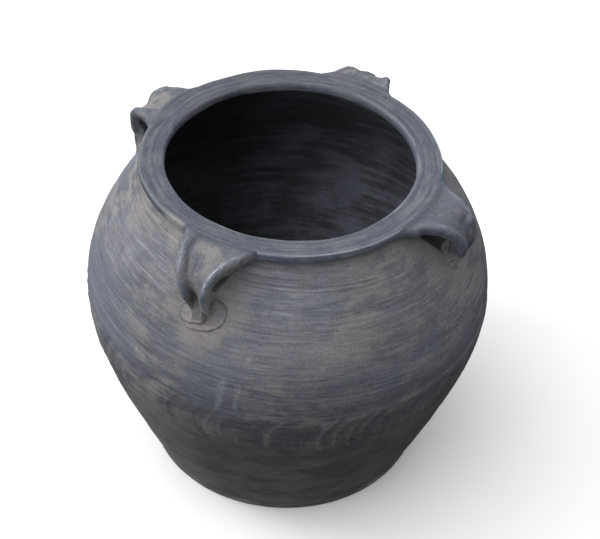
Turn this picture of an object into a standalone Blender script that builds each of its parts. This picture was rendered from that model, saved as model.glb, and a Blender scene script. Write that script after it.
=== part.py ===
"""Large black clay jar (barro negro olla) with a flat collar rim and four
finger-pressed strap handles.

The jar is a flat base disc, a lower and an upper wall luted together near the
belly, a thick rim ring set on the neck, and four straps bridging from the rim
to the shoulder, each seated on its own thin pad of luting clay.

Units are metres, +Z is up, the origin is the centre of the underside.
The handles stand on the +X (right), -X (left), +Y (back) and -Y (front) sides.
"""
import math

import bpy
import bmesh
import numpy as np
from mathutils import Vector

GAP = 0.0003            # clearance between neighbouring pieces
SEGMENTS = 72           # facets round every turned piece

# ---------------------------------------------------------------- wall
BELLY_R = 0.2100        # widest outer radius
BELLY_Z = 0.2070        # height of the widest point
FLANK_SLOPE = 0.440     # how fast the lower wall closes towards the base
FLANK_ROUNDING = 0.080  # length over which the belly turns into the flank
NECK_R = 0.1436         # outer radius where the shoulder meets the neck
NECK_Z = 0.3476         # height of that line
SHOULDER_POWER = 2.08   # roundness of the shoulder
WALL_T = 0.0090         # wall thickness, measured square to the wall
SLOPE_STEP = 0.0005     # half the height step used to measure the wall's slope

LOWER_OUTER_LEVELS = 12
SHOULDER_LEVELS = 14
INNER_LEVELS = 10       # on the inside of each wall section
INNER_TOP_Z = 0.3400    # where the upper wall's inner curve ends

# ---------------------------------------------------------------- base disc
BASE_T = 0.0095         # thickness at the edge
BASE_R = 0.1508         # outer radius
REGISTER_H = 0.0040     # raised register that centres the lower wall
EDGE_BREAK = 0.0012     # softened arris
WALL_FOOT_Z = BASE_T + GAP

# ------------------------------------- tongue-and-groove seam between the walls
SEAM_Z = 0.2100
TONGUE_H = 0.0040
TONGUE_HALF_W = 0.0012
GROOVE_HALF_W = 0.0014
GROOVE_TOP_Z = SEAM_Z + TONGUE_H + 1.4 * GAP

# ------------------------------------- collar: the short upright neck in the rim
COLLAR_OUT_R = 0.1425
COLLAR_IN_R = 0.1340
COLLAR_TOP_Z = 0.3560
COLLAR_RISE = 0.0026    # from the neck line up to the collar's upright outside
COLLAR_IN_FOOT_Z = 0.3452

# ---------------------------------------------------------------- rim ring
RIM_TOP_Z = 0.3630
RIM_UNDER_Z = 0.3520
RIM_OUT_R = 0.1504
RIM_IN_R = 0.1245
RIM_UNDER_INSET = 0.0040    # underside's outer edge, in from RIM_OUT_R
RIM_CORNER_INSET = 0.0012   # rounded corner between underside and outer band
RIM_CORNER_RISE = 0.0014
RIM_BAND_RISE = 0.0042      # foot of the outer band, above the underside

# ---------------------------------------------------------------- handles
# Each strap is hand placed: degrees about +Z from +X, reach from the rim
# (1 = full), how much higher its foot sits on the shoulder.
HANDLES = {
    "front": (-89.5, 1.00, 0.0000),
    "right": (1.6, 1.00, 0.0060),
    "back": (90.2, 0.90, 0.0040),
    "left": (176.8, 0.85, 0.0040),
}
STRAP_T = 0.0112        # strap thickness through its raised edges
STRAP_RINGS = 20        # cross sections along a strap
STRAP_EDGE = 0.0014     # unit size of the section's softened edges
RIDGE_H = 0.0052        # height of the raised edges over the finger channel
RIDGE_W = 0.0078        # greatest width of each raised edge
RIDGE_MAX_SHARE = 0.55  # most of the half width that a raised edge may take
ROOT_HALF_W = 0.0365    # half width of the root lapped on the rim
ROOT_IN_R = 0.1452      # how far in over the rim the root reaches
ROOT_LAP_T = 0.0050     # thickness of the lapped root
ROOT_SHARE = 0.10       # first part of the path, where sections stand upright
TANGENT_STEP = 0.004    # path fraction either side, for the strap's direction
FOOT_TOP_Z = 0.3300     # below this height the foot's rise is blended in
FOOT_BLEND_H = 0.030    # height over which it is blended in

# Stations down the strap, along the top of its raised edges: distance from the
# jar's axis, height, half width, share of the full ridge height.
STRAP_STATIONS = [
    (0.1400, RIM_TOP_Z, ROOT_HALF_W, 0.0),           # in the rim's rebate
    (0.1512, RIM_TOP_Z, ROOT_HALF_W, 0.0),           # leaves the rim, flush with it
    (0.1620, RIM_TOP_Z + 0.0002, 0.0300, 0.25),      # narrows quickly
    (0.1735, 0.3624, 0.0250, 0.65),
    (0.1838, 0.3578, 0.0215, 0.95),
    (0.1922, 0.3490, 0.0180, 1.0),                   # turns over the bend
    (0.1962, 0.3385, 0.0152, 1.0),
    (0.1960, 0.3270, 0.0132, 0.9),
    (0.1938, 0.3165, 0.0122, 0.45),                  # ridges run out
    (0.1918, 0.3070, 0.0135, 0.1),                   # foot flattens
    (0.1902, 0.2990, 0.0150, 0.0),
    (0.1885, 0.2915, 0.0145, 0.0),
    (0.1862, 0.2840, 0.0130, 0.0),                   # end of the foot
]

# ---------------------------------------------------------------- luting pads
PAD_T = 0.0020
PAD_HALF_W = 0.0250
PAD_HALF_H = 0.0210
PAD_Z = 0.2990          # height of the pad's centre on the shoulder
PAD_SIDES = 28
PAD_TAPER = 0.0016      # how much the outline shrinks towards the outer face
PAD_TAPER_OVER = 0.0006  # the taper ends this far beyond the outer face
PAD_SHELL_LOW_Z = 0.2560

# ---------------------------------------------------------------- cutters
SHELL_TOP_Z = 0.3440        # pads and envelope follow the shoulder below this
ENVELOPE_BASE_Z = 0.2300
ENVELOPE_SHELL_LOW_Z = 0.2310
ENVELOPE_NECK = (COLLAR_OUT_R + 0.0035, 0.3505)     # radius, height
ENVELOPE_OVER = 0.03        # envelope's height above the rim
REBATE_OVER = 0.02          # rebate cutter's reach beyond and above the rim
WINDOW_X = 0.1550           # centre of the window that limits a rebate's width
WINDOW_LENGTH = 0.110
WINDOW_HEIGHT = 0.2
PRISM_DEPTH = 0.02          # pad prism's reach either side of the wall


# ------------------------------------------------------------- wall outline
def wall_radius(z):
    """Outer radius of the jar's wall at height z."""
    if z >= BELLY_Z:
        rise = (z - BELLY_Z) / (NECK_Z - BELLY_Z)
        return BELLY_R - (BELLY_R - NECK_R) * rise ** SHOULDER_POWER
    drop = BELLY_Z - z
    return BELLY_R - FLANK_SLOPE * (math.hypot(drop, FLANK_ROUNDING) - FLANK_ROUNDING)


def wall_slope(z):
    """Change of outer radius per unit of height."""
    return (wall_radius(z + SLOPE_STEP) - wall_radius(z - SLOPE_STEP)) / (2 * SLOPE_STEP)


def wall_offset(z, distance):
    """Point on the wall's outline moved outward, square to the wall."""
    slope = wall_slope(z)
    length = math.hypot(1.0, slope)
    return (wall_radius(z) + distance / length, z - distance * slope / length)


def wall_inner(z):
    """Inner radius at height z."""
    return wall_radius(z) - WALL_T * math.hypot(1.0, wall_slope(z))


def spread(low, high, count):
    return [low + (high - low) * i / (count - 1) for i in range(count)]


def outer_points(levels):
    return [(wall_radius(z), z) for z in levels]


def inner_points(low, high):
    """Inner outline, from the top down."""
    return [(wall_inner(z), z) for z in reversed(spread(low, high, INNER_LEVELS))]


def shoulder_levels():
    """Heights shared by the shoulder and by everything that rests on it."""
    return spread(SEAM_Z + GAP, NECK_Z, SHOULDER_LEVELS)


def shell_levels(low):
    """Shoulder heights between low and the top of the pad shell."""
    return [z for z in shoulder_levels() if low < z < SHELL_TOP_Z]


def seam_middle():
    """Radius half way through the wall at the seam."""
    return 0.5 * (wall_radius(SEAM_Z) + wall_inner(SEAM_Z))


# ------------------------------------------------------------------ helpers
def clear_scene():
    for obj in list(bpy.data.objects):
        bpy.data.objects.remove(obj, do_unlink=True)
    for mesh in list(bpy.data.meshes):
        bpy.data.meshes.remove(mesh)


def clay(name, colour, roughness):
    mat = bpy.data.materials.new(name)
    mat.use_nodes = True
    shader = mat.node_tree.nodes["Principled BSDF"]
    shader.inputs["Base Color"].default_value = (*colour, 1.0)
    shader.inputs["Roughness"].default_value = roughness
    mat.diffuse_color = (*colour, 1.0)
    return mat


def add_object(name, bm, angle=0.0):
    """Object from a bmesh, turned by angle degrees about the jar's axis."""
    bmesh.ops.recalc_face_normals(bm, faces=bm.faces[:])
    mesh = bpy.data.meshes.new(name)
    bm.to_mesh(mesh)
    bm.free()
    obj = bpy.data.objects.new(name, mesh)
    obj.rotation_euler = (0.0, 0.0, math.radians(angle))
    bpy.context.scene.collection.objects.link(obj)
    return obj


def add_piece(name, bm, material, smooth_angle=38.0, angle=0.0):
    """Visible piece, smooth except where faces meet above smooth_angle degrees."""
    obj = add_object(name, bm, angle)
    obj.data.materials.append(material)
    obj.data.shade_smooth()
    obj.data.set_sharp_from_angle(angle=math.radians(smooth_angle))
    return obj


def add_cutter(name, bm, angle=0.0):
    """Helper that only shapes other pieces."""
    obj = add_object(name, bm, angle)
    obj.hide_render = True
    obj.display_type = 'WIRE'
    return obj


def cut(obj, cutter, operation='DIFFERENCE'):
    mod = obj.modifiers.new(operation.lower() + "_" + cutter.name, 'BOOLEAN')
    mod.operation = operation
    mod.solver = 'EXACT'
    mod.object = cutter


def circle(radius, height):
    """Points of one turned ring; a single point when it lies on the axis."""
    if radius < 1e-9:
        return [(0.0, 0.0, height)]
    angles = [2 * math.pi * i / SEGMENTS for i in range(SEGMENTS)]
    return [(radius * math.cos(a), radius * math.sin(a), height) for a in angles]


def add_rings(bm, point_rings):
    return [[bm.verts.new(point) for point in ring] for ring in point_rings]


def bridge(bm, first, second):
    """Faces between two rings, either of which may be a single point."""
    count = max(len(first), len(second))
    if count == 1:
        return
    for i in range(count):
        j = (i + 1) % count
        if len(first) == 1:
            bm.faces.new((first[0], second[i], second[j]))
        elif len(second) == 1:
            bm.faces.new((first[i], first[j], second[0]))
        else:
            bm.faces.new((first[i], first[j], second[j], second[i]))


def turned(profile):
    """Solid of revolution from a closed (radius, height) outline."""
    bm = bmesh.new()
    rings = add_rings(bm, [circle(*point) for point in profile])
    for first, second in zip(rings, rings[1:] + rings[:1]):
        bridge(bm, first, second)
    return bm


def lofted(point_rings):
    """Solid through a row of rings, closed by a flat face at each end."""
    bm = bmesh.new()
    rings = add_rings(bm, point_rings)
    for first, second in zip(rings[:-1], rings[1:]):
        bridge(bm, first, second)
    bm.faces.new(rings[0])
    bm.faces.new(rings[-1])
    return bm


# ------------------------------------------------------- base, walls and rim
def build_base(material):
    register_r = wall_inner(WALL_FOOT_Z) - 2 * GAP
    profile = [
        (BASE_R - 2.2 * EDGE_BREAK, 0.0),
        (BASE_R - EDGE_BREAK * 0.6, EDGE_BREAK * 1.3),
        (BASE_R, BASE_T * 0.55),
        (BASE_R - EDGE_BREAK * 0.2, BASE_T - EDGE_BREAK * 0.6),
        (BASE_R - EDGE_BREAK * 0.9, BASE_T),
        (register_r, BASE_T),
        (register_r - REGISTER_H * 0.4, BASE_T + REGISTER_H),
    ]
    add_piece("base_disc", lofted([circle(*point) for point in profile]), material)


def build_lower_wall(material):
    middle = seam_middle()
    tongue_top = SEAM_Z + TONGUE_H
    profile = outer_points(spread(WALL_FOOT_Z, SEAM_Z, LOWER_OUTER_LEVELS))
    profile += [(middle + TONGUE_HALF_W, tongue_top), (middle - TONGUE_HALF_W, tongue_top)]
    profile += inner_points(WALL_FOOT_Z, SEAM_Z)
    add_piece("lower_wall", turned(profile), material)


def build_upper_wall(material):
    middle = seam_middle()
    profile = outer_points(shoulder_levels())
    profile += [
        (COLLAR_OUT_R, NECK_Z + COLLAR_RISE),
        (COLLAR_OUT_R, COLLAR_TOP_Z),
        (COLLAR_IN_R, COLLAR_TOP_Z),
        (COLLAR_IN_R, COLLAR_IN_FOOT_Z),
    ]
    profile += inner_points(SEAM_Z + GAP, INNER_TOP_Z)
    profile += [(middle - GROOVE_HALF_W, GROOVE_TOP_Z), (middle + GROOVE_HALF_W, GROOVE_TOP_Z)]
    add_piece("upper_wall", turned(profile), material)


def build_rim(material):
    profile = [
        # flat top, from the outer arris inward
        (RIM_OUT_R - 0.0010, RIM_TOP_Z),
        (RIM_IN_R + 0.0042, RIM_TOP_Z),
        # rolled inner lip
        (RIM_IN_R + 0.0016, RIM_TOP_Z - 0.0008),
        (RIM_IN_R + 0.0002, RIM_TOP_Z - 0.0028),
        (RIM_IN_R, RIM_TOP_Z - 0.0060),
        (RIM_IN_R + 0.0012, RIM_TOP_Z - 0.0088),
        (RIM_IN_R + 0.0036, RIM_UNDER_Z + 0.0008),
        # groove over the collar
        (COLLAR_IN_R - GAP, RIM_UNDER_Z + 0.0004),
        (COLLAR_IN_R - GAP, COLLAR_TOP_Z + GAP),
        (COLLAR_OUT_R + GAP, COLLAR_TOP_Z + GAP),
        (COLLAR_OUT_R + GAP, RIM_UNDER_Z + 0.0004),
        # underside and rounded outer band
        (RIM_OUT_R - RIM_UNDER_INSET, RIM_UNDER_Z),
        (RIM_OUT_R - RIM_CORNER_INSET, RIM_UNDER_Z + RIM_CORNER_RISE),
        (RIM_OUT_R - 0.0001, RIM_UNDER_Z + RIM_BAND_RISE),
        (RIM_OUT_R, RIM_TOP_Z - 0.0024),
        (RIM_OUT_R - 0.0002, RIM_TOP_Z - 0.0007),
    ]
    return add_piece("rim_ring", turned(profile), material)


# ------------------------------------------------------------------- handles
def interpolate(knots, fraction):
    """Smooth curve through evenly spaced rows of an array (Catmull-Rom)."""
    spans = len(knots) - 1
    position = min(max(fraction, 0.0), 1.0) * spans
    i = min(int(position), spans - 1)
    t = position - i
    start, end = knots[i], knots[i + 1]
    before = knots[i - 1] if i > 0 else 2 * start - end
    after = knots[i + 2] if i + 2 <= spans else 2 * end - start
    return 0.5 * (2 * start + (end - before) * t
                  + (2 * before - 5 * start + 4 * end - after) * t * t
                  + (3 * start - before - 3 * end + after) * t ** 3)


def placed_stations(reach, rise):
    """The strap's stations with its own reach and foot height worked in."""
    stations = []
    for radius, z, half_w, ridge_share in STRAP_STATIONS:
        reached = RIM_OUT_R + (radius - RIM_OUT_R) * reach
        if z <= FOOT_TOP_Z:
            # the foot slides up the wall and eases back to its full distance
            share = min((FOOT_TOP_Z - z) / FOOT_BLEND_H, 1.0)
            lifted = z + rise * share
            radius = (reached + (radius - reached) * share
                      - (wall_radius(z) - wall_radius(lifted)) * share)
            z = lifted
        elif radius > RIM_OUT_R:
            radius = reached
        stations.append((radius, z, half_w, ridge_share))
    return np.array(stations)


def strap_section(half_w, ridge):
    """Cross section, counter-clockwise, in (across, out) axes.
    The top of the raised edges is at out = 0."""
    edge = STRAP_EDGE
    low = -STRAP_T
    ridge_in = half_w - min(RIDGE_W, half_w * RIDGE_MAX_SHARE)
    right = [
        (half_w - 2.4 * edge, low),
        (half_w - 0.5 * edge, low + 1.4 * edge),
        (half_w, -1.8 * edge),
        (half_w - 1.2 * edge, -0.3 * edge),
        (0.5 * (half_w + ridge_in), 0.0),
        (ridge_in + 0.2 * edge, -ridge * 0.45),
        (ridge_in - 1.6 * edge, -ridge),
    ]
    return right + [(-across, out) for across, out in reversed(right)]


def strap_ring(stations, fraction):
    """Points of the strap's section at a fraction of the way along its path."""
    radius, z, half_w, ridge_share = interpolate(stations, fraction)
    if fraction < ROOT_SHARE:
        outward = Vector((0.0, 0.0, 1.0))
    else:
        step = (interpolate(stations, fraction + TANGENT_STEP)
                - interpolate(stations, fraction - TANGENT_STEP))
        tangent = Vector((step[0], 0.0, step[1])).normalized()
        outward = Vector((-tangent.z, 0.0, tangent.x))
    # the curve overshoots its knots a little, so width and ridge are clamped
    section = strap_section(min(half_w, ROOT_HALF_W),
                            RIDGE_H * min(max(ridge_share, 0.0), 1.0))
    return [Vector((radius, across, z)) + outward * out for across, out in section]


def build_strap(name, angle, reach, rise, material):
    stations = placed_stations(reach, rise)
    rings = [strap_ring(stations, fraction) for fraction in spread(0.0, 1.0, STRAP_RINGS)]
    return add_piece(name, lofted(rings), material, smooth_angle=45.0, angle=angle)


def build_handle_envelope():
    """Everything a strap must stay out of: the shoulder with its pad, the neck
    and the rim with its rebate."""
    distance = PAD_T + 2 * GAP
    root_under_z = RIM_TOP_Z - ROOT_LAP_T
    top_z = RIM_TOP_Z + ENVELOPE_OVER
    profile = [(0.0, ENVELOPE_BASE_Z)]
    profile += [wall_offset(z, distance) for z in shell_levels(ENVELOPE_SHELL_LOW_Z)]
    profile += [
        ENVELOPE_NECK,
        (RIM_OUT_R - RIM_UNDER_INSET, RIM_UNDER_Z - GAP),
        (RIM_OUT_R - RIM_CORNER_INSET + GAP, RIM_UNDER_Z + RIM_CORNER_RISE - GAP),
        (RIM_OUT_R + GAP, RIM_UNDER_Z + RIM_BAND_RISE),
        (RIM_OUT_R + GAP, root_under_z),
        (ROOT_IN_R, root_under_z),
        (ROOT_IN_R, top_z),
        (0.0, top_z),
    ]
    return add_cutter("cut_strap_envelope", turned(profile))


def build_rebate_window(name, angle):
    """Box that limits a rebate to the width of one strap root."""
    bm = bmesh.new()
    bmesh.ops.create_cube(bm, size=1.0)
    width = 2 * (ROOT_HALF_W + GAP)
    for vert in bm.verts:
        x, y, z = vert.co
        vert.co = (WINDOW_X + x * WINDOW_LENGTH, y * width, RIM_TOP_Z + z * WINDOW_HEIGHT)
    return add_cutter(name, bm, angle)


def build_rebate_cutter(name, angle):
    """Pocket in the rim's top outer edge that takes one strap root."""
    inner_r = ROOT_IN_R - GAP
    outer_r = RIM_OUT_R + REBATE_OVER
    low = RIM_TOP_Z - ROOT_LAP_T - GAP
    high = RIM_TOP_Z + REBATE_OVER
    profile = [(inner_r, low), (outer_r, low), (outer_r, high), (inner_r, high)]
    ring = add_cutter(name, turned(profile))
    cut(ring, build_rebate_window(name + "_window", angle), 'INTERSECT')
    return ring


# -------------------------------------------------------------- luting pads
def build_pad_prism(name, angle, pad_z):
    """Elliptical prism, square to the shoulder at the pad's centre."""
    out = Vector((1.0, 0.0, -wall_slope(pad_z))).normalized()
    across = Vector((0, 1, 0))
    up = Vector((-out.z, 0.0, out.x))
    centre = Vector((wall_radius(pad_z), 0.0, pad_z))
    sections = [    # depth out from the wall, inset of the outline
        (-PRISM_DEPTH, 0.0),
        (GAP + PAD_T * 0.3, 0.0),
        (GAP + PAD_T + PAD_TAPER_OVER, PAD_TAPER),
        (PRISM_DEPTH, PAD_TAPER),
    ]
    angles = [2 * math.pi * i / PAD_SIDES for i in range(PAD_SIDES)]
    rings = [[centre + out * depth
              + across * ((PAD_HALF_W - inset) * math.cos(a))
              + up * ((PAD_HALF_H - inset) * math.sin(a)) for a in angles]
             for depth, inset in sections]
    return add_cutter(name, lofted(rings), angle)


def build_pad(name, angle, rise, material):
    """Thin lens of clay between a strap's foot and the shoulder: a shell
    turned over the shoulder, kept only inside the prism."""
    levels = shell_levels(PAD_SHELL_LOW_Z)
    profile = [wall_offset(z, GAP) for z in levels]
    profile += [wall_offset(z, GAP + PAD_T) for z in reversed(levels)]
    pad = add_piece(name, turned(profile), material, smooth_angle=40.0)
    cut(pad, build_pad_prism("cut_" + name, angle, PAD_Z + rise), 'INTERSECT')


# ------------------------------------------------------------------ assembly
def main():
    clear_scene()
    wall_clay = clay("fired_black_clay_wall", colour=(0.088, 0.092, 0.100), roughness=0.78)
    lower_clay = clay("fired_black_clay_lower", colour=(0.070, 0.073, 0.080), roughness=0.74)
    rim_clay = clay("burnished_rim_clay", colour=(0.098, 0.108, 0.125), roughness=0.62)
    base_clay = clay("fired_black_clay_base", colour=(0.066, 0.066, 0.066), roughness=0.85)
    strap_clay = clay("finger_pressed_strap_clay", colour=(0.100, 0.104, 0.112), roughness=0.70)
    pad_clay = clay("luting_clay", colour=(0.105, 0.103, 0.100), roughness=0.82)

    build_base(base_clay)
    build_lower_wall(lower_clay)
    build_upper_wall(wall_clay)
    rim = build_rim(rim_clay)

    envelope = build_handle_envelope()
    for side, (angle, reach, rise) in HANDLES.items():
        strap = build_strap("handle_" + side, angle, reach, rise, strap_clay.copy())
        cut(strap, envelope)
        build_pad("luting_pad_" + side, angle, rise, pad_clay.copy())
        cut(rim, build_rebate_cutter("cut_rebate_" + side, angle))


main()
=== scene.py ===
# Looks of a large hand-thrown black clay jar: base disc, two wall sections luted
# at the belly, collar rim and four finger-pressed strap handles, each on a pad.
# The jar stands on z = 0 with its axis on +Z, in metres. The camera looks from the
# -Y side, turned 27 degrees towards +X; "across" is the distance to its right.
# Every node of the frame is replaced by a fine mesh of the same piece in place.
import itertools
import math
from functools import cached_property
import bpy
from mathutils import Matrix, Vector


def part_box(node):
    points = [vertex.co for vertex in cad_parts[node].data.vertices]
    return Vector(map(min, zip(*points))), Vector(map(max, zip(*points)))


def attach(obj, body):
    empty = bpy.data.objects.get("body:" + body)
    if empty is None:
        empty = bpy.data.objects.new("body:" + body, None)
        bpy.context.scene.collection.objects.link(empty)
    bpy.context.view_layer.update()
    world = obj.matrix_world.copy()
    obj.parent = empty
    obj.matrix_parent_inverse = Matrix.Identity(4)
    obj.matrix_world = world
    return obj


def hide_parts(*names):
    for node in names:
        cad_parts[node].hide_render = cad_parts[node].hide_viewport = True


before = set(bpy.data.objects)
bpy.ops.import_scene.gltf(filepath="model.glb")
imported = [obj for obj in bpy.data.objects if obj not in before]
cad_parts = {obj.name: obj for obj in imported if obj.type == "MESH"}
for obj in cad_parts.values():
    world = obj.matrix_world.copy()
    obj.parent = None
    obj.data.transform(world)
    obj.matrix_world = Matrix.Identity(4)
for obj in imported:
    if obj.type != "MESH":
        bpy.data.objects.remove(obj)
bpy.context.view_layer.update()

from types import SimpleNamespace as Strap

import bpy
import numpy as np
from mathutils import Matrix, Vector

DETAIL = 1.0

# ------------------------------------------------------------ sizes from the frame
BELLY_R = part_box("lower_wall")[1].x
FOOT_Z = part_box("lower_wall")[0].z            # the lower wall starts here, on the base
SEAM_Z = 0.5 * (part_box("upper_wall")[0].z + 0.2100)
BASE_R, FLOOR_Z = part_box("base_disc")[1].x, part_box("base_disc")[1].z
RIM_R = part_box("rim_ring")[1].x
RIM_TOP, RIM_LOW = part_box("rim_ring")[1].z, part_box("rim_ring")[0].z
COLLAR_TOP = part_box("upper_wall")[1].z

# outline of the wall, the same rule the solids follow
BELLY_Z = 0.2070
FLANK_SLOPE, FLANK_ROUNDING = 0.440, 0.080
NECK_R, NECK_Z, SHOULDER_POWER = 0.1436, 0.3476, 2.08
WALL_T = 0.0090
SEAM_GAP = 0.00006                            # each wall ends this far from the seam
COLLAR_OUT_R, COLLAR_IN_R = 0.1425, 0.1340
COLLAR_FOOT = [(0.1431, NECK_Z + 0.0008), (0.1427, NECK_Z + 0.0018)]
GROOVE_OUT_R, GROOVE_IN_R = COLLAR_OUT_R + 0.0004, COLLAR_IN_R - 0.0004
GROOVE_START_Z, GROOVE_END_Z = RIM_TOP - 0.0100, RIM_LOW + 0.0006
MOUTH_R = 0.1245

VIEW_AZIMUTH = math.radians(27)
TURN = (math.cos(VIEW_AZIMUTH), math.sin(VIEW_AZIMUTH))   # the camera's right
OUTER_TILT, INNER_TILT = 0.04, 0.02           # climb of the wheel lines towards that side


def wall_radius(z):
    z = np.asarray(z, float)
    climb = np.clip((z - BELLY_Z) / (NECK_Z - BELLY_Z), 0, None)
    shoulder = BELLY_R - (BELLY_R - NECK_R) * climb ** SHOULDER_POWER
    drop = np.clip(BELLY_Z - z, 0, None)
    flank = BELLY_R - FLANK_SLOPE * (np.hypot(drop, FLANK_ROUNDING) - FLANK_ROUNDING)
    return np.where(z >= BELLY_Z, shoulder, flank)


def wall_inner(z):
    slope = (wall_radius(z + 0.0005) - wall_radius(z - 0.0005)) / 0.001
    return wall_radius(z) - WALL_T * np.hypot(1.0, slope)


# ----------------------------------------------------------- noise and smooth steps
GRADIENTS = np.array([(1, 1, 0), (-1, 1, 0), (1, -1, 0), (-1, -1, 0),
                      (1, 0, 1), (-1, 0, 1), (1, 0, -1), (-1, 0, -1),
                      (0, 1, 1), (0, -1, 1), (0, 1, -1), (0, -1, -1),
                      (1, 1, 0), (-1, 1, 0), (0, -1, 1), (0, -1, -1)], float)
HASH_PRIMES = np.array((374761393, 668265263, 1274126177), np.int64)
CORNERS = [(i, j, k) for k in (0, 1) for j in (0, 1) for i in (0, 1)]


def noise(points, seed=0):
    """Gradient noise, about -1 to 1, at an (N, 3) array of points."""
    points = np.asarray(points, float)
    cell = np.floor(points).astype(np.int64)
    part = points - cell
    ease = part * part * part * (part * (part * 6 - 15) + 10)
    total = np.zeros(len(points))
    for corner in itertools.product((0, 1), repeat=3):
        corner = np.array(corner)
        weight = np.where(corner, ease, 1 - ease).prod(1)
        code = (((cell + corner) * HASH_PRIMES).sum(1) + seed * 974634777) & 0xFFFFFFFF
        code = ((code ^ (code >> 13)) * 1103515245) & 0xFFFFFFFF
        code = (code ^ (code >> 16)) & 15
        total += weight * (GRADIENTS[code] * (part - corner)).sum(1)
    return total * 1.5


def layered_noise(points, octaves, seed):
    total, gain = 0.0, 1.0
    for k in range(octaves):
        total = total + gain * noise(points, seed + 17 * k)
        points = points * 2.03 + 11.7
        gain *= 0.5
    return total


def ring_noise(x, y):
    """Noise stretched round the axis: a function of level, how fast it changes, seed."""
    radius = np.hypot(x, y) + 1e-9
    ring_x, ring_y = x / radius * 0.2, y / radius * 0.2

    def rings(level, around, seed, up=1, shift=0):
        heights = np.broadcast_to(level * up, x.shape)
        return noise(np.c_[ring_x * around, ring_y * around, heights] + shift, seed)
    return rings


def smooth(start, end, value):
    share = np.clip((np.asarray(value, float) - start) / (end - start), 0, 1)
    return share * share * (3 - 2 * share)


def fade(start, end, value):
    return 1 - smooth(start, end, value)


def bell(value, middle, half):
    return np.exp(-((value - middle) / half) ** 2)


def across_view(x, y):
    return x * TURN[0] + y * TURN[1]


def catmull(knots, share):
    """Smooth curve through evenly spaced knots (columns are interpolated together)."""
    knots = np.asarray(knots, float)
    spans = len(knots) - 1
    place = np.clip(share, 0, 1) * spans
    i = np.minimum(place.astype(int), spans - 1)
    part = (place - i)[:, None]
    knots = np.vstack([2 * knots[0] - knots[1], knots, 2 * knots[-1] - knots[-2]])
    before, start, end, after = knots[i], knots[i + 1], knots[i + 2], knots[i + 3]
    return 0.5 * (2 * start + (end - before) * part
                  + (2 * before - 5 * start + 4 * end - after) * part ** 2
                  + (3 * start - before - 3 * end + after) * part ** 3)


# -------------------------------------------------------- designs of the four straps
# Across is measured from a strap's middle, positive anticlockwise seen from above.
# Stations down each strap; the last lies inside the shoulder. Columns: distance from
# the axis, height of the cords, share of the channel's depth, slab thickness, cord radius.
BASE_STATIONS = [
    (0.1335, 0.3568, 0.00, 0.0060, 0.0018), (0.1440, 0.3604, 0.00, 0.0084, 0.0024),
    (0.1530, 0.3622, 0.08, 0.0098, 0.0032), (0.1620, 0.3630, 0.40, 0.0106, 0.0038),
    (0.1735, 0.3624, 0.80, 0.0112, 0.0042), (0.1838, 0.3578, 1.00, 0.0116, 0.0044),
    (0.1922, 0.3490, 1.05, 0.0118, 0.0044), (0.1962, 0.3385, 1.10, 0.0118, 0.0042),
    (0.1962, 0.3275, 1.05, 0.0116, 0.0037), (0.1942, 0.3175, 0.55, 0.0108, 0.0029),
    (0.1914, 0.3080, 0.00, 0.0096, 0.0004), (0.1892, 0.2990, 0.00, 0.0084, 0.0000),
    (0.1872, 0.2910, 0.00, 0.0074, 0.0000), (0.1840, 0.2840, 0.00, 0.0064, 0.0000),
]
CORD_STATIONS = 11                             # the cords run down the first of them
FOOT_STATION = 9                               # the foot has edges of its own from here
BEND_Z = 0.330                                 # straps differ in reach above, rise below
RIDGE_H = 0.0056                               # depth of a full channel
PIT = 0.650                                    # how far down the fingertip's pit lies


def cord_run(waist, root, bow=1.4, flare=0.0, toe=0.0, held=False):
    """Distance of a cord from the strap's middle, from the rim to a waist at the foot.

    bow bends the run, flare widens it at the rim, toe turns it out again at the
    foot, and a held cord keeps its width longer.
    """
    down = np.arange(CORD_STATIONS) / 10.0
    share = fade(-0.05, 0.78, down) if held else (1 - down) ** bow
    return waist + (root - waist) * share + flare * (1 - down) ** 6 + toe * smooth(0.8, 1.0, down)


def lumpy_oval(middle, z, half_width, half_height, seed):
    turn = np.linspace(0, 2 * math.pi, 28, endpoint=False)
    swell = (1 + 0.09 * np.sin(2 * turn + seed) + 0.06 * np.sin(3 * turn + 2 * seed)
             + 0.03 * np.sin(5 * turn + 4 * seed))
    return [(middle + half_width * e * math.cos(b), z + half_height * e * math.sin(b))
            for b, e in zip(turn, swell)]


def pressed_oval(middle, z, half_width, half_height, lean, square):
    """Outline of clay pressed out by a thumb: a leaning oval, boxier as square grows."""
    turn = np.linspace(0, 2 * math.pi, 48, endpoint=False)
    power = 2 / square
    wide = half_width * np.sign(np.cos(turn)) * np.abs(np.cos(turn)) ** power
    high = half_height * np.sign(np.sin(turn)) * np.abs(np.sin(turn)) ** power
    cos, sin = math.cos(lean), math.sin(lean)
    return [(float(middle + u * cos - v * sin), float(z + u * sin + v * cos))
            for u, v in zip(wide, high)]


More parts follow.
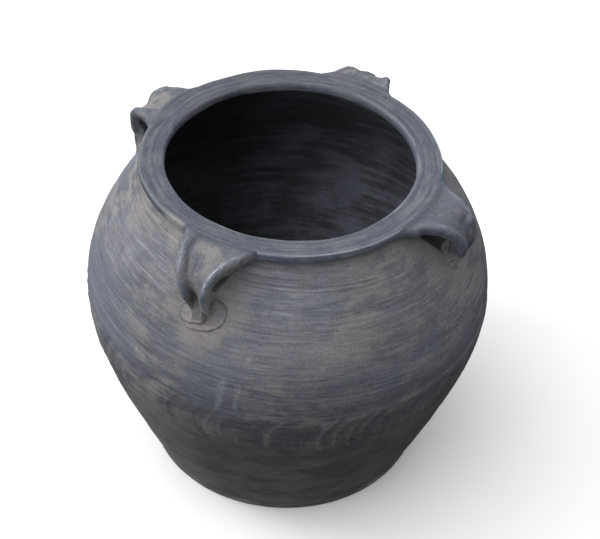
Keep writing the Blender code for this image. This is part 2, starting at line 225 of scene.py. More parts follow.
# runs, feet: low and high side of the cords, and of the foot from its first station
# reach: share of the full reach; rise: lift of the foot; channel: finger's depth
# cords: how fat each cord is; shine: how strong the painted highlight along each cord's crest is;
# fill: clay behind foot and slab
# hollow, in the shoulder behind: low edge and its slant, high edge and its slant
# lumps: middle (outward, across, z), half sizes, turn about z, softness
# pad, tongue (the strap's own clay below its end): outline (across, z), thickness
# mark: how dark these outlines are; smoke: added darkness of the clay
STRAPS = {
    "front": Strap(
        runs=(-cord_run(0.000, 0.033, bow=0.93), cord_run(0.012, 0.038, toe=0.003, held=True)),
        feet=([-0.0036, -0.0030, -0.0040, -0.0060, -0.0080],
              [0.0122, 0.0105, 0.0080, 0.0070, 0.0055]),
        reach=1.0, rise=0.0, shift=0.0, channel=1.0, cords=(1.28, 1.12), shine=(0.28, 1.0),
        fill=(0.0036, 0.0036), hollow=(-0.010, 0.20, 0.0185, -0.45), hollow_drop=0.0,
        lumps=[((0.1585, -0.0238, 0.3612), (0.0115, 0.0070, 0.0038), -0.22, 0.0018)],
        pad=(pressed_oval(0.004, 0.300, 0.0245, 0.014, lean=0.20, square=2.2), 0.0016),
        tongue=(pressed_oval(-0.0045, 0.299, 0.0145, 0.008, lean=0.25, square=3.0), 0.0020),
        mark=1.0, smoke=0.0),
    "right": Strap(
        runs=(-cord_run(0.005, 0.041, bow=1.2, flare=0.017), cord_run(0.008, 0.044, bow=2.0)),
        feet=([-0.0055, -0.0050, -0.0055, -0.0060, -0.0060],
              [0.0086, 0.0090, 0.0100, 0.0100, 0.0080]),
        reach=1.0, rise=0.006, shift=0.0, channel=0.60, cords=(1.15, 1.10), shine=(0.15, 0.5),
        fill=(0.0084, 0.0010), hollow=(-0.020, 0.60, 0.0140, 0.0), hollow_drop=0.0022,
        lumps=[((0.1890, 0.0090, 0.3440), (0.0064, 0.0056, 0.0115), 0.10, 0.0034),
               ((0.1700, 0.0080, 0.3560), (0.0130, 0.0100, 0.0052), 0.20, 0.0034)],
        pad=(lumpy_oval(0.0030, 0.3060, 0.0125, 0.0100, seed=1), 0.0011),
        tongue=(lumpy_oval(0.0030, 0.3050, 0.0100, 0.0080, seed=4), 0.0018),
        mark=0.3, smoke=0.07),
    "back": Strap(
        runs=(-cord_run(0.009, 0.038), cord_run(0.009, 0.037)),
        feet=([-0.0098, -0.0105, -0.0125, -0.0120, -0.0090],
              [0.0098, 0.0105, 0.0130, 0.0120, 0.0080]),
        reach=0.82, rise=0.004, shift=0.0, channel=0.50, cords=(1.08, 0.98), shine=(0.4, 0.4),
        fill=(0.0040, 0.0002), hollow=(-0.017, 0.40, 0.0170, -0.40), hollow_drop=0.0,
        lumps=[((0.1800, 0.0040, 0.3480), (0.0070, 0.0130, 0.0060), 0.00, 0.0030)],
        pad=(lumpy_oval(0.0020, 0.3060, 0.0180, 0.0140, seed=2), 0.0014),
        tongue=(lumpy_oval(0.0, 0.3030, 0.0130, 0.0095, seed=5), 0.0020),
        mark=1.0, smoke=0.02),
    "left": Strap(
        runs=(-cord_run(0.009, 0.038), cord_run(0.009, 0.038)),
        feet=([-0.0096, -0.0100, -0.0130, -0.0115, -0.0090],
              [0.0116, 0.0138, 0.0155, 0.0145, 0.0110]),
        reach=0.845, rise=0.005, shift=-0.0045, channel=0.75, cords=(1.10, 1.20),
        shine=(0.3, 0.4), fill=(0.0098, 0.0004),
        hollow=(-0.017, 0.40, 0.0180, -0.40), hollow_drop=0.0,
        lumps=[((0.1640, 0.0200, 0.3600), (0.0090, 0.0060, 0.0046), 0.30, 0.0030)],
        pad=(lumpy_oval(-0.0020, 0.3060, 0.0180, 0.0145, seed=3), 0.0015),
        tongue=(lumpy_oval(0.0, 0.3030, 0.0130, 0.0095, seed=6), 0.0020),
        mark=1.0, smoke=0.0),
}


def handle_angle(name):
    """Compass angle of a strap, read from its solid in the frame."""
    points = np.array([v.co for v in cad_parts["handle_" + name].data.vertices], float)
    middle = 0.5 * (points.min(0) + points.max(0))
    return math.atan2(middle[1], middle[0])


for number, (side, strap) in enumerate(STRAPS.items()):
    strap.name, strap.seed, strap.angle = side, number, handle_angle(side)


def stations(strap):
    """The strap's own stations: the base columns, with both cords' places across
    after the height, and both edges of the slab at the end."""
    rows = []
    for k, (radius, z, lift, thick, cord) in enumerate(BASE_STATIONS):
        reached = RIM_R + (radius - RIM_R) * strap.reach
        if radius > RIM_R and z > BEND_Z:
            radius = reached
        elif z <= BEND_Z:
            share = min((BEND_Z - z) / 0.030, 1.0)
            raised = z + strap.rise * share
            step = float(wall_radius(z) - wall_radius(raised))
            radius = reached + (radius - reached) * share - step * share
            z = raised
        edges = None
        if k >= FOOT_STATION:
            edges = [foot[k - FOOT_STATION] + strap.shift for foot in strap.feet]
        cords = edges
        if k < CORD_STATIONS:
            cords = [run[k] + strap.shift for run in strap.runs]
        foot, slab = strap.fill
        thick += foot * bell(k, 9.1, 1.35) + slab * float(smooth(2, 4, k) * fade(10, 12, k))
        if strap.name == "right" and k < 3:    # it leaves the rim as high as the rim's band
            cord *= 1.45
        rows.append((radius, z, *cords, lift * strap.channel, thick, cord, *(edges or cords)))
    return np.array(rows)


def to_world(strap, points):
    cos, sin = math.cos(strap.angle), math.sin(strap.angle)
    x, y, z = points.T
    return np.c_[x * cos - y * sin, x * sin + y * cos, z]


def strap_sight(strap, x, y):
    """Place across the strap, and whether a point is on the strap's side of the jar."""
    cos, sin = math.cos(strap.angle), math.sin(strap.angle)
    return -x * sin + y * cos, x * cos + y * sin > 0


# --------------------------------------------- slow bends shared by every piece
def hand_bend(points):
    """A gentle lean of the rim and slow lumps, the same for neighbouring pieces."""
    points = np.array(points, float)
    x, y, z = points.T                         # views, so that changes reach points
    top = smooth(0.27, 0.35, z)
    z += -0.0095 * across_view(x, y) * top
    behind = -(x * TURN[1] - y * TURN[0])
    z += 0.0018 * smooth(0.03, 0.15, behind) * top
    slow = np.c_[x * 6.0, y * 6.0, z * 7.0]
    radius = np.hypot(x, y) + 1e-9
    swell = (0.0011 * noise(slow, 5) + 0.0005 * noise(slow * 2.3, 6)) * smooth(0.004, 0.05, z)
    swell = swell * smooth(0.02, 0.10, radius)
    x += x / radius * swell
    y += y / radius * swell
    z += 0.0007 * noise(np.c_[x * 8, y * 8, z * 3], 9) * top
    return points


def seam_bend(x, y, z):
    """The luting line isn't quite level: rows near it follow its slow wander."""
    wander = -0.45 * OUTER_TILT * across_view(x, y)
    wander = wander + 0.0009 * ring_noise(x, y)(0, around=6, seed=71)
    return z + wander * np.exp(-np.abs(z - SEAM_Z) / 0.022)


# -------------------------------------------------------------- relief of the wall
def foot_halo(x, y, z):
    """1 where fingers smeared the clay smooth round each strap's foot and root."""
    halo = np.zeros(len(x))
    for strap in STRAPS.values():
        across, ahead = strap_sight(strap, x, y)
        far = np.hypot(across / 0.036, (z - (0.3060 + strap.rise)) / 0.040)
        wobble = 0.18 * noise(np.c_[x * 40, y * 40, z * 40], 31)
        halo = np.maximum(halo, ahead * fade(0.65, 1.25, far + wobble))
    return halo


def scatter_knocks(count, seed):
    """Angle, height, size and depth of small knocks, spread evenly round the jar."""
    rng = np.random.RandomState(seed)
    knocks = []
    for k in range(count):
        angle = 2 * math.pi * (k + rng.rand()) / count
        share = 0.25 + 0.57 * ((k * 0.618 + 0.3 * rng.rand()) % 1.0)
        knocks.append((angle, share * RIM_TOP,
                       0.0020 + 0.0020 * rng.rand(), 0.0005 + 0.0003 * rng.rand()))
    return knocks


KNOCKS = scatter_knocks(count=14, seed=23)
# single lines cut by the tool: height, depth, half width
TOOL_LINES = ((0.3368, 0.00042, 0.0007), (0.3318, 0.00030, 0.0006), (0.3240, 0.00016, 0.0006),
              (0.2560, 0.00030, 0.0010), (0.2470, 0.00022, 0.0007), (0.2330, 0.00024, 0.0009))


def hollow_share(strap, across, z):
    """1 inside the finger hollow behind a strap; its edges slant down to the foot."""
    across = across - strap.shift
    drop = 0.3354 - z
    low_edge, low_slant, high_edge, high_slant = strap.hollow
    start, end = low_edge + low_slant * drop, high_edge + high_slant * drop
    bottom = 0.3085 + strap.rise - strap.hollow_drop
    here = smooth(start - 0.0014, start + 0.0016, across)
    here = here * fade(end - 0.002, end + 0.003, across)
    return here * smooth(bottom - 0.003, bottom + 0.003, z) * fade(0.336, 0.343, z)


def finger_strokes(x, y, level, rings):
    """Strokes leaning round the jar between the seam and the ledge, and their band."""
    ragged = level + 0.004 * rings(0, around=9, seed=57)
    band = smooth(0.150, 0.163, ragged) * fade(0.2020, 0.2090, level)
    angle = np.arctan2(y, x) - 70.0 * (level - 0.176) ** 2 - 0.5 * (level - 0.176)
    leaning = np.c_[np.cos(angle) * 0.2, np.sin(angle) * 0.2, level]
    stroke = 0.00046 * noise(leaning * np.array([112, 112, 8]), 51)
    stroke += 0.00042 * noise(leaning * np.array([270, 270, 12]), 52)
    turn = 84.0 * angle / (2 * math.pi) + 0.55 * rings(0, around=11, seed=59)
    rib = bell(turn - np.floor(turn), 0.5, 0.11)
    stroke = 0.75 * stroke + 0.00040 * (rib - 0.19)
    patches = 0.75 + 0.9 * rings(level, around=10, up=14, seed=58)
    return stroke * np.clip(patches, 0.15, 1.3), band


def outer_relief(x, y, z):
    """Height of the outer surface over the plain wall, and the fine, stroke and
    hollow shares of it."""
    level = z + OUTER_TILT * across_view(x, y)
    rings = ring_noise(x, y)
    halo = foot_halo(x, y, z)
    upper = smooth(0.203, 0.212, z)
    low = 1 - upper
    calm = (1 - 0.88 * halo) * (1 - 0.6 * smooth(0.330, 0.340, z))
    # slow throwing waves
    relief = 0.00030 * rings(level, around=6, up=62, seed=41) * (0.5 + 0.5 * calm)
    # wheel lines, in patches
    patch = 0.35 + (0.55 + 0.45 * rings(level, around=16, up=26, seed=42))
    fine = 0.00013 * rings(level, around=26, up=330, seed=43) * patch
    fine += 0.00008 * rings(level, around=34, up=560, seed=44) * patch
    fine += 0.00012 * rings(level, around=9, up=150, seed=45)
    relief += fine * calm * (upper + 0.30 * low)
    drift = 0.0011 * rings(0, around=4, seed=46)
    for height, depth, half in TOOL_LINES:
        broken = np.clip(0.55 + 1.1 * rings(0, around=9, seed=47, shift=height * 97), 0, 1)
        relief -= depth * bell(level + drift, height, half) * broken * (1 - halo)
    # a ledge where the trimming of the lower wall stops, and one lower down
    ragged = level + 0.0016 * rings(0, around=12, seed=48)
    relief += 0.00055 * smooth(0.1640, 0.1690, ragged) * low
    ragged = level + 0.0020 * rings(0, around=10, seed=49)
    relief += 0.00040 * smooth(0.1210, 0.1250, ragged) * low
    stroke, band = finger_strokes(x, y, level, rings)
    relief += stroke * band
    # the same tool marks, faint, further down
    deep = fade(0.150, 0.170, level) * smooth(0.012, 0.030, z)
    angle = np.arctan2(y, x) - 3.0 * (level - 0.1)
    leaning = np.c_[np.cos(angle) * 0.2, np.sin(angle) * 0.2, level]
    relief += deep * (0.00028 * noise(leaning * np.array([38, 38, 11]), 53)
                      + 0.00012 * noise(leaning * np.array([95, 95, 16]), 54))
    # smeared clay round the straps
    relief += halo * (0.00035 * layered_noise(np.c_[x, y, z] * 60, octaves=2, seed=55))
    hollow = np.zeros(len(x))
    for strap in STRAPS.values():
        across, ahead = strap_sight(strap, x, y)
        hollow = np.maximum(hollow, hollow_share(strap, across, z) * ahead)
    relief -= 0.0030 * hollow
    # luting seam: a shallow line that fades in and out
    seam = np.clip(0.62 + 0.9 * rings(0, around=7, seed=56), 0.12, 1)
    relief -= 0.00045 * bell(z - SEAM_Z, 0, 0.0011) * seam
    relief += 0.00022 * bell(z - SEAM_Z, 0.0035, 0.0025) * seam
    for angle, height, size, depth in KNOCKS:
        radius = float(wall_radius(height))
        far = np.sqrt((x - radius * math.cos(angle)) ** 2 + (y - radius * math.sin(angle)) ** 2
                      + (z - height) ** 2)
        relief -= depth * bell(far, 0, size)
    return relief, fine * calm / 0.0002, np.clip(stroke / 0.00040, -1, 1) * band, hollow


def inner_relief(x, y, z):
    level = z + INNER_TILT * across_view(x, y) + 0.0018 * np.arctan2(y, x) / math.pi
    rings = ring_noise(x, y)
    relief = 0.00026 * rings(level, around=7, up=85, seed=61)
    relief += 0.00018 * rings(level, around=12, up=260, seed=62)
    return relief * fade(0.335, 0.345, z) * smooth(0.012, 0.022, z)


# ------------------------------------------------------------------ mesh helpers
def make_object(name, verts, faces, attributes=None, sharp=True):
    """Smooth-shaded object facing outward; a face whose last two corners agree
    becomes a triangle."""
    verts = np.asarray(verts, float)
    faces = np.asarray(faces, np.int64)
    a, b, c, d = (verts[faces[:, k]] for k in range(4))
    volume = (np.einsum("ij,ij->i", a, np.cross(b, c)).sum()
              + np.einsum("ij,ij->i", a, np.cross(c, d)).sum())
    if volume < 0:
        faces = faces[:, ::-1]
    mesh = bpy.data.meshes.new(name)
    rows = [row if row[3] != row[2] else row[:3] for row in faces.tolist()]
    mesh.from_pydata(verts.tolist(), [], rows)
    mesh.polygons.foreach_set("use_smooth", np.ones(len(mesh.polygons), bool))
    mesh.update()
    if sharp:
        mesh.set_sharp_from_angle(angle=math.radians(52))
    for key, values in (attributes or {}).items():
        attribute = mesh.attributes.new(key, "FLOAT", "POINT")
        attribute.data.foreach_set("value", np.asarray(values, np.float32))
    mesh.update()
    obj = bpy.data.objects.new(name, mesh)
    bpy.context.scene.collection.objects.link(obj)
    return obj


def normals_of(verts, faces):
    a, b, c, d = (verts[faces[:, k]] for k in range(4))
    face_normals = np.cross(c - a, d - b)
    normals = np.zeros_like(verts)
    for k in range(4):
        np.add.at(normals, faces[:, k], face_normals)
    return normals / (np.linalg.norm(normals, axis=1)[:, None] + 1e-15)


def ring_faces(rows, cols, closed=True):
    k, i = np.meshgrid(np.arange(rows if closed else rows - 1), np.arange(cols), indexing="ij")
    next_k, next_i = (k + 1) % rows, (i + 1) % cols
    return np.stack([k * cols + i, k * cols + next_i,
                     next_k * cols + next_i, next_k * cols + i], -1).reshape(-1, 4)


def normals_from(tangents):
    normals = np.c_[tangents[:, 1], -tangents[:, 0]]
    return normals / (np.linalg.norm(normals, axis=1)[:, None] + 1e-12)


def loop_normals(profile):
    return normals_from(np.roll(profile, -1, 0) - np.roll(profile, 1, 0))


def resample(points, step):
    points = np.asarray(points, float)
    run = np.r_[0, np.cumsum(np.hypot(*np.diff(points, axis=0).T))]
    count = max(2, int(round(run[-1] / step)) + 1)
    places = np.linspace(0, run[-1], count)
    return np.c_[np.interp(places, run, points[:, 0]), np.interp(places, run, points[:, 1])]


def revolve(profile, normals, cols):
    """x, y, z of a profile turned round the axis, and its normals' parts out and up."""
    angles = np.arange(cols) * 2 * math.pi / cols
    x = profile[:, 0][:, None] * np.cos(angles)[None]
    y = profile[:, 0][:, None] * np.sin(angles)[None]
    z, out, up = (np.repeat(column, cols) for column in (profile[:, 1], *normals.T))
    return x.ravel(), y.ravel(), z, out, up


def raise_relief(x, y, z, out, up, relief):
    radius = np.hypot(x, y)
    return np.c_[x + x / radius * out * relief, y + y / radius * out * relief, z + up * relief]


# ------------------------------------------------------------------ wall sections
def build_wall(name, outer, inner, cols):
    """One thrown section: outer face, its end, inner face and the other end."""
    outer_row = resample(outer, 0.00105 / DETAIL)
    inner_row = resample(inner, 0.0045 / DETAIL)
    top_end = resample([outer[-1], inner[0]], 0.0016 / DETAIL)[1:-1]
    low_end = resample([inner_row[-1], outer_row[0]], 0.0022)[1:-1]
    parts = (outer_row, top_end, inner_row, low_end)
    profile = np.vstack(parts)
    x, y, z, out, up = revolve(profile, loop_normals(profile), cols)
    part = np.repeat(np.repeat(range(4), [len(rows) for rows in parts]), cols)
    outside, inside = part == 0, part == 2
    relief, fine, stroke, hollow, halo = (np.zeros(len(x)) for _ in range(5))
    relief[outside], fine[outside], stroke[outside], hollow[outside] = outer_relief(
        x[outside], y[outside], z[outside])
    relief[outside] *= fade(NECK_Z - 0.004, NECK_Z + 0.001, z[outside])
    relief[inside] = inner_relief(x[inside], y[inside], z[inside])
    z = seam_bend(x, y, z)
    halo[outside] = foot_halo(x[outside], y[outside], z[outside])
    points = raise_relief(x, y, z, out, up, relief)
    return make_object(name, hand_bend(points), ring_faces(len(profile), cols),
                       {"fine": fine, "halo": halo, "stroke": stroke, "hollow": hollow,
                        "inside": (part > 0).astype(float)})


def build_lower_wall():
    z = np.linspace(FOOT_Z + 0.0001, SEAM_Z - SEAM_GAP, 400)
    down = z[::-1]
    return build_wall("lower_wall_look", np.c_[wall_radius(z), z],
                      np.c_[wall_inner(down), down], int(400 * DETAIL))


def build_upper_wall():
    z = np.linspace(SEAM_Z + SEAM_GAP, NECK_Z, 400)
    outer = np.r_[np.c_[wall_radius(z), z], COLLAR_FOOT,
                  [[COLLAR_OUT_R, NECK_Z + 0.0030], [COLLAR_OUT_R, COLLAR_TOP]]]
    down = np.linspace(SEAM_Z + SEAM_GAP, 0.3400, 300)[::-1]
    inner = np.r_[[[COLLAR_IN_R, COLLAR_TOP], [COLLAR_IN_R, 0.3460],
                   [COLLAR_IN_R + 0.0005, 0.3438]], np.c_[wall_inner(down), down]]
    return build_wall("upper_wall_look", outer, inner, int(480 * DETAIL))


# --------------------------------------------------------------------- rim ring
# outer band, upward: radius, height over the rim's underside
RIM_BAND = [(GROOVE_OUT_R, 0.0006), (0.1452, 0.0001), (0.1474, 0.0003), (0.1490, 0.0014),
            (0.1500, 0.0034), (0.15035, 0.0060), (0.1503, 0.0084), (0.1500, 0.0099)]
# top, inward, then the rolled inner lip: radius, depth below the rim's top
RIM_FACE = [(0.1494, 0.0003), (0.1484, 0.00005), (0.1466, 0.0003), (0.1440, 0.0006),
            (0.1405, 0.0005), (0.1370, 0.0003), (0.1335, 0.0005), (0.1305, 0.0003),
            (0.1282, 0.0006), (0.1264, 0.0015), (0.1251, 0.0032), (MOUTH_R + 0.0001, 0.0056),
            (0.1247, 0.0078), (0.1256, 0.0096), (0.1276, 0.0106), (0.1305, 0.0104),
            (GROOVE_IN_R, 0.0100)]
RIM_KNOTS = ([(radius, RIM_LOW + up) for radius, up in RIM_BAND]
             + [(radius, RIM_TOP - down) for radius, down in RIM_FACE])
RIM_GROOVE = [(GROOVE_IN_R, GROOVE_START_Z), (GROOVE_IN_R, COLLAR_TOP + 0.0004),
              (GROOVE_OUT_R, COLLAR_TOP + 0.0004), (GROOVE_OUT_R, GROOVE_END_Z)]
# finger-turned rings on the top: height, radius, wander, changes around, seed, half width
RIM_RINGS = ((0.00028, 0.1462, 0.0006, 5, 86, 0.0010), (0.00022, 0.1372, 0.0010, 4, 87, 0.0009),
             (-0.00025, 0.1412, 0.0010, 4, 88, 0.0011), (-0.00018, 0.1318, 0.0008, 6, 89, 0.0008))


def rim_outline(step):
    return resample(catmull(RIM_KNOTS, np.linspace(0, 1, 600)), step)


def build_rim():
    cols = int(560 * DETAIL)
    seen_row = rim_outline(0.00062 / DETAIL)
    groove = resample(RIM_GROOVE, 0.0018)[1:-1]
    profile = np.vstack([seen_row, groove])
    normals = loop_normals(profile)
    normals[0] = normals[len(seen_row) - 1] = (0, -1)
    x, y, z, out, up = revolve(profile, normals, cols)
    radius = np.hypot(x, y)
    level = z - radius
    rings = ring_noise(x, y)
    points = np.c_[x, y, z]
    fine = rings(level, around=14, up=210, seed=81)
    relief = 0.00016 * fine + 0.00010 * rings(level, around=24, up=430, seed=82)
    relief += 0.00030 * rings(level, around=9, up=60, seed=83)
    relief += 0.00022 * noise(points * 45, 84) + 0.00045 * noise(points * 17, 85)
    turned = sum(height * bell(radius, middle + wander * rings(0, around, seed), half)
                 for height, middle, wander, around, seed, half in RIM_RINGS)
    relief += turned * (up > 0.7)
    relief *= np.repeat(np.arange(len(profile)) < len(seen_row), cols)
    to_groove = np.minimum(np.hypot(radius - GROOVE_OUT_R, z - GROOVE_END_Z),
                           np.hypot(radius - GROOVE_IN_R, z - GROOVE_START_Z))
    relief *= smooth(0.0, 0.002, to_groove)
    points = raise_relief(x, y, z, out, up, relief)
    return make_object("rim_ring_look", hand_bend(points), ring_faces(len(profile), cols),
                       {"fine": fine})


# -------------------------------------------------------------------- base disc
def build_base():
    cols = int(420 * DETAIL)
    step_r = float(wall_inner(FOOT_Z)) - 0.0006     # the floor's edge, inside the wall
    top_z = FOOT_Z - 0.0003
    edge = [(BASE_R - inset, z) for inset, z in (
        (0.0040, 0.0), (0.0022, 0.0003), (0.0009, 0.0014), (0.0002, 0.0036),
        (0.0, 0.0058), (0.0003, 0.0078), (0.0010, top_z - 0.0004), (0.0022, top_z))]
    under = np.c_[np.linspace(0.0030, BASE_R - 0.0040, 60), np.zeros(60)][:-1]
    rim = resample(catmull(edge, np.linspace(0, 1, 200)), 0.0008 / DETAIL)
    ledge = resample([edge[-1], (step_r, top_z)], 0.0025)[1:-1]
    step = resample([(step_r, top_z), (step_r - 0.0010, FLOOR_Z - 0.0010),
                     (step_r - 0.0030, FLOOR_Z)], 0.0012)
    floor = np.c_[np.linspace(step_r - 0.0030, 0.0030, 55)[1:], np.full(54, FLOOR_Z)]
    parts = (under, rim, ledge, step, floor)
    profile = np.vstack(parts)
    normals = normals_from(np.gradient(profile, axis=0))
    x, y, z, out, up = revolve(profile, normals, cols)
    part = np.repeat(np.repeat(range(5), [len(rows) for rows in parts]), cols)
    radius = np.hypot(x, y)
    points = np.c_[x, y, z]

    rough = 0.0005 * noise(points * 38, 91) + 0.00022 * noise(points * 120, 92)
    rough = rough * smooth(0.0, 0.004, z) * smooth(0, 0.002, np.abs(z - top_z) + 0.0004)
    spiral = np.sin(2 * math.pi * (radius / 0.0115 - np.arctan2(y, x) / (2 * math.pi)))
    thrown = ((0.00045 * spiral + 0.0004 * noise(points * 30, 93))
              * fade(step_r - 0.010, step_r - 0.004, radius) * smooth(0.004, 0.012, radius))
    wire = np.sin(2 * math.pi * np.hypot(x + 0.10, y - 0.06) / 0.0050)
    cut = -(0.0012 * fade(0.115, 0.138, radius) + 0.00012 * wire * fade(0.10, 0.13, radius)
            + 0.00014 * np.abs(noise(points * 90, 94)) * fade(0.125, 0.140, radius))
    relief = np.select([part == 0, part == 1, part == 4], [cut, rough, thrown], 0.0)

    points = raise_relief(x, y, z, out, up, relief)
    points[:, 2] = np.maximum(points[:, 2], 0.0)
    low_tip, top_tip = len(points), len(points) + 1
    points = np.vstack([points, [0, 0, points[:cols, 2].mean()],
                        [0, 0, points[-cols:, 2].mean()]])
    i = np.arange(cols)
    j = (i + 1) % cols
    last = (len(profile) - 1) * cols
    low_cap = np.c_[j, i, np.full(cols, low_tip), np.full(cols, low_tip)]
    top_cap = np.c_[last + i, last + j, np.full(cols, top_tip), np.full(cols, top_tip)]
    faces = np.vstack([ring_faces(len(profile), cols, closed=False), low_cap, top_cap])
    return make_object("base_disc_look", hand_bend(points), faces)


# ------------------------------------------------------ meshes from distance fields
def soft_min(a, b, width):
    near = np.clip(1 - np.abs(a - b) / width, 0, 1)
    return np.minimum(a, b) - near * near * width * 0.25


def soft_max(a, b, width):
    return -soft_min(-a, -b, width)


GRID_SIDES = [tuple(end if other == axis else slice(None) for other in range(3))
              for axis in range(3) for end in (0, -1)]


def untangle(field, step):
    """Closes the field at the grid's border, and fills the corners where its surface
    would touch itself along an edge."""
    for _ in range(8):
        for border in GRID_SIDES:
            field[border] = np.maximum(field[border], step)
        inside = field < 0
        bad = np.zeros(inside.shape, bool)
        for axis in range(3):
            u, v = [other for other in range(3) if other != axis]

            def cut(corner):
                window = [slice(None)] * 3
                for other, start in zip((u, v), corner):
                    window[other] = slice(start, inside.shape[other] - 1 + start)
                return tuple(window)
            square = ((0, 0), (1, 1), (1, 0), (0, 1))
            a, b, c, d = (inside[cut(corner)] for corner in square)
            chess = (a == b) & (c == d) & (a != c)
            for corner in square:
                bad[cut(corner)] |= chess
        bad &= ~inside
        for border in GRID_SIDES:
            bad[border] = False
        if not bad.any():
            break
        field[bad] = -0.05 * step
    return field


def surface_net(field, origin, step):
    """Closed quad mesh of a 3-D field's zero level, one point per cell, without crumbs."""
    field = untangle(np.array(field), step)
    inside = field < 0
    nx, ny, nz = (n - 1 for n in field.shape)
    count = np.zeros((nx, ny, nz), np.uint8)
    for i, j, k in CORNERS:
        count += inside[i:nx + i, j:ny + j, k:nz + k]
    active = (count > 0) & (count < 8)
    cells = np.array(np.nonzero(active)).T
    index = np.full(active.shape, -1, np.int64)
    index[active] = np.arange(len(cells))
    total, weight = np.zeros((len(cells), 3)), np.zeros(len(cells))
    for start, end in itertools.combinations(np.array(CORNERS), 2):
        if np.abs(start - end).sum() != 1:
            continue
        at_start = field[tuple((cells + start).T)].astype(float)
        at_end = field[tuple((cells + end).T)].astype(float)
        cross = (at_start < 0) != (at_end < 0)
        share = np.where(cross, at_start / np.where(cross, at_start - at_end, 1), 0)
        total += np.where(cross[:, None], start + share[:, None] * (end - start), 0)
        weight += cross
    verts = np.asarray(origin) + (cells + total / weight[:, None]) * step
    quads = []
    for axis in range(3):
        low, high = [slice(1, -1)] * 3, [slice(1, -1)] * 3
        low[axis], high[axis] = slice(0, -1), slice(1, None)
        low_in, high_in = inside[tuple(low)], inside[tuple(high)]
        cell = np.array(np.nonzero(low_in != high_in)).T
        outward = low_in[tuple(cell.T)]
        u, v = [other for other in range(3) if other != axis]
        cell[:, [u, v]] += 1

        def vertex_at(back_u, back_v):
            near = cell.copy()
            near[:, u] -= back_u
            near[:, v] -= back_v
            return index[tuple(near.T)]
        quad = np.stack([vertex_at(1, 1), vertex_at(0, 1), vertex_at(0, 0), vertex_at(1, 0)], -1)
        if axis == 1:
            outward = ~outward
        quad[~outward] = quad[~outward][:, ::-1]
        quads.append(quad)
    return largest_part(verts, np.vstack(quads))


def largest_part(verts, faces):
    label = np.arange(len(verts))
    while True:
        low = label[faces].min(1)
        new = label.copy()
        for k in range(4):
            np.minimum.at(new, faces[:, k], low)
        new = new[new]
        if (new == label).all():
            break
        label = new
    names, counts = np.unique(label, return_counts=True)
    keep = label == names[counts.argmax()]
    renumber = np.cumsum(keep) - 1
    return verts[keep], renumber[faces[keep[faces[:, 0]]]]


def relax(verts, faces):
    """Evens out the grid's grain a little."""
    for _ in range(2):
        total, count = np.zeros_like(verts), np.zeros(len(verts))
        for k in range(4):
            for m in (1, 3):
                np.add.at(total, faces[:, k], verts[faces[:, (k + m) % 4]])
                np.add.at(count, faces[:, k], 1)
        verts = 0.5 * verts + 0.5 * total / count[:, None]
    return verts


def polygon_distance(polygon, x, z):
    """Signed distance (negative inside) from grid points to a closed polygon."""
    squared = np.full(x.shape, 1e9)
    inside = np.zeros(x.shape, bool)
    for (ax, az), (bx, bz) in zip(polygon, polygon[1:] + polygon[:1]):
        run, rise = bx - ax, bz - az
        share = ((x - ax) * run + (z - az) * rise) / (run * run + rise * rise + 1e-18)
        share = np.clip(share, 0, 1)
        squared = np.minimum(squared, (x - ax - share * run) ** 2 + (z - az - share * rise) ** 2)
        if az != bz:
            inside ^= ((az > z) != (bz > z)) & (x < (bx - ax) * (z - az) / (bz - az) + ax)
    far = np.sqrt(squared)
    return np.where(inside, -far, far)


def body_distance():
    """Distance to the shoulder, neck and rim without straps, as a function of radius
    and height that reads a fine table."""
    step, low_r, low_z = 0.00045, 0.128, 0.252
    grid = np.meshgrid(np.arange(low_r, 0.216, step), np.arange(low_z, 0.380, step),
                       indexing="ij")
    polygon = [(0.10, 0.235)]
    polygon += [(float(wall_radius(z)), float(z)) for z in np.linspace(0.235, NECK_Z, 90)]
    polygon += COLLAR_FOOT + [(COLLAR_OUT_R, GROOVE_END_Z)]
    polygon += [(radius, z) for radius, z in rim_outline(0.0006)
                if radius > 0.132 and (z > RIM_LOW + 0.002 or radius > COLLAR_OUT_R + 0.0003)]
    polygon += [(0.10, RIM_TOP - 0.0003)]
    table = polygon_distance(polygon, *grid).astype(np.float32)

    def look_up(radius, z):
        i = np.clip((radius - low_r) / step, 0, table.shape[0] - 1.001)
        j = np.clip((z - low_z) / step, 0, table.shape[1] - 1.001)
        i0, j0 = i.astype(np.int32), j.astype(np.int32)
        di, dj = i - i0, j - j0
        return ((table[i0, j0] * (1 - di) + table[i0 + 1, j0] * di) * (1 - dj)
                + (table[i0, j0 + 1] * (1 - di) + table[i0 + 1, j0 + 1] * di) * dj)
    return look_up


# ------------------------------------------------------------------ straps and pads
# In a strap's own frame x points away from the axis and y across it.
OUTLINE_STRETCH = 1.12                         # pad outlines are measured on the slope


def pit_middle(left, right):
    return left + 0.30 * (right - left) + 0.0006


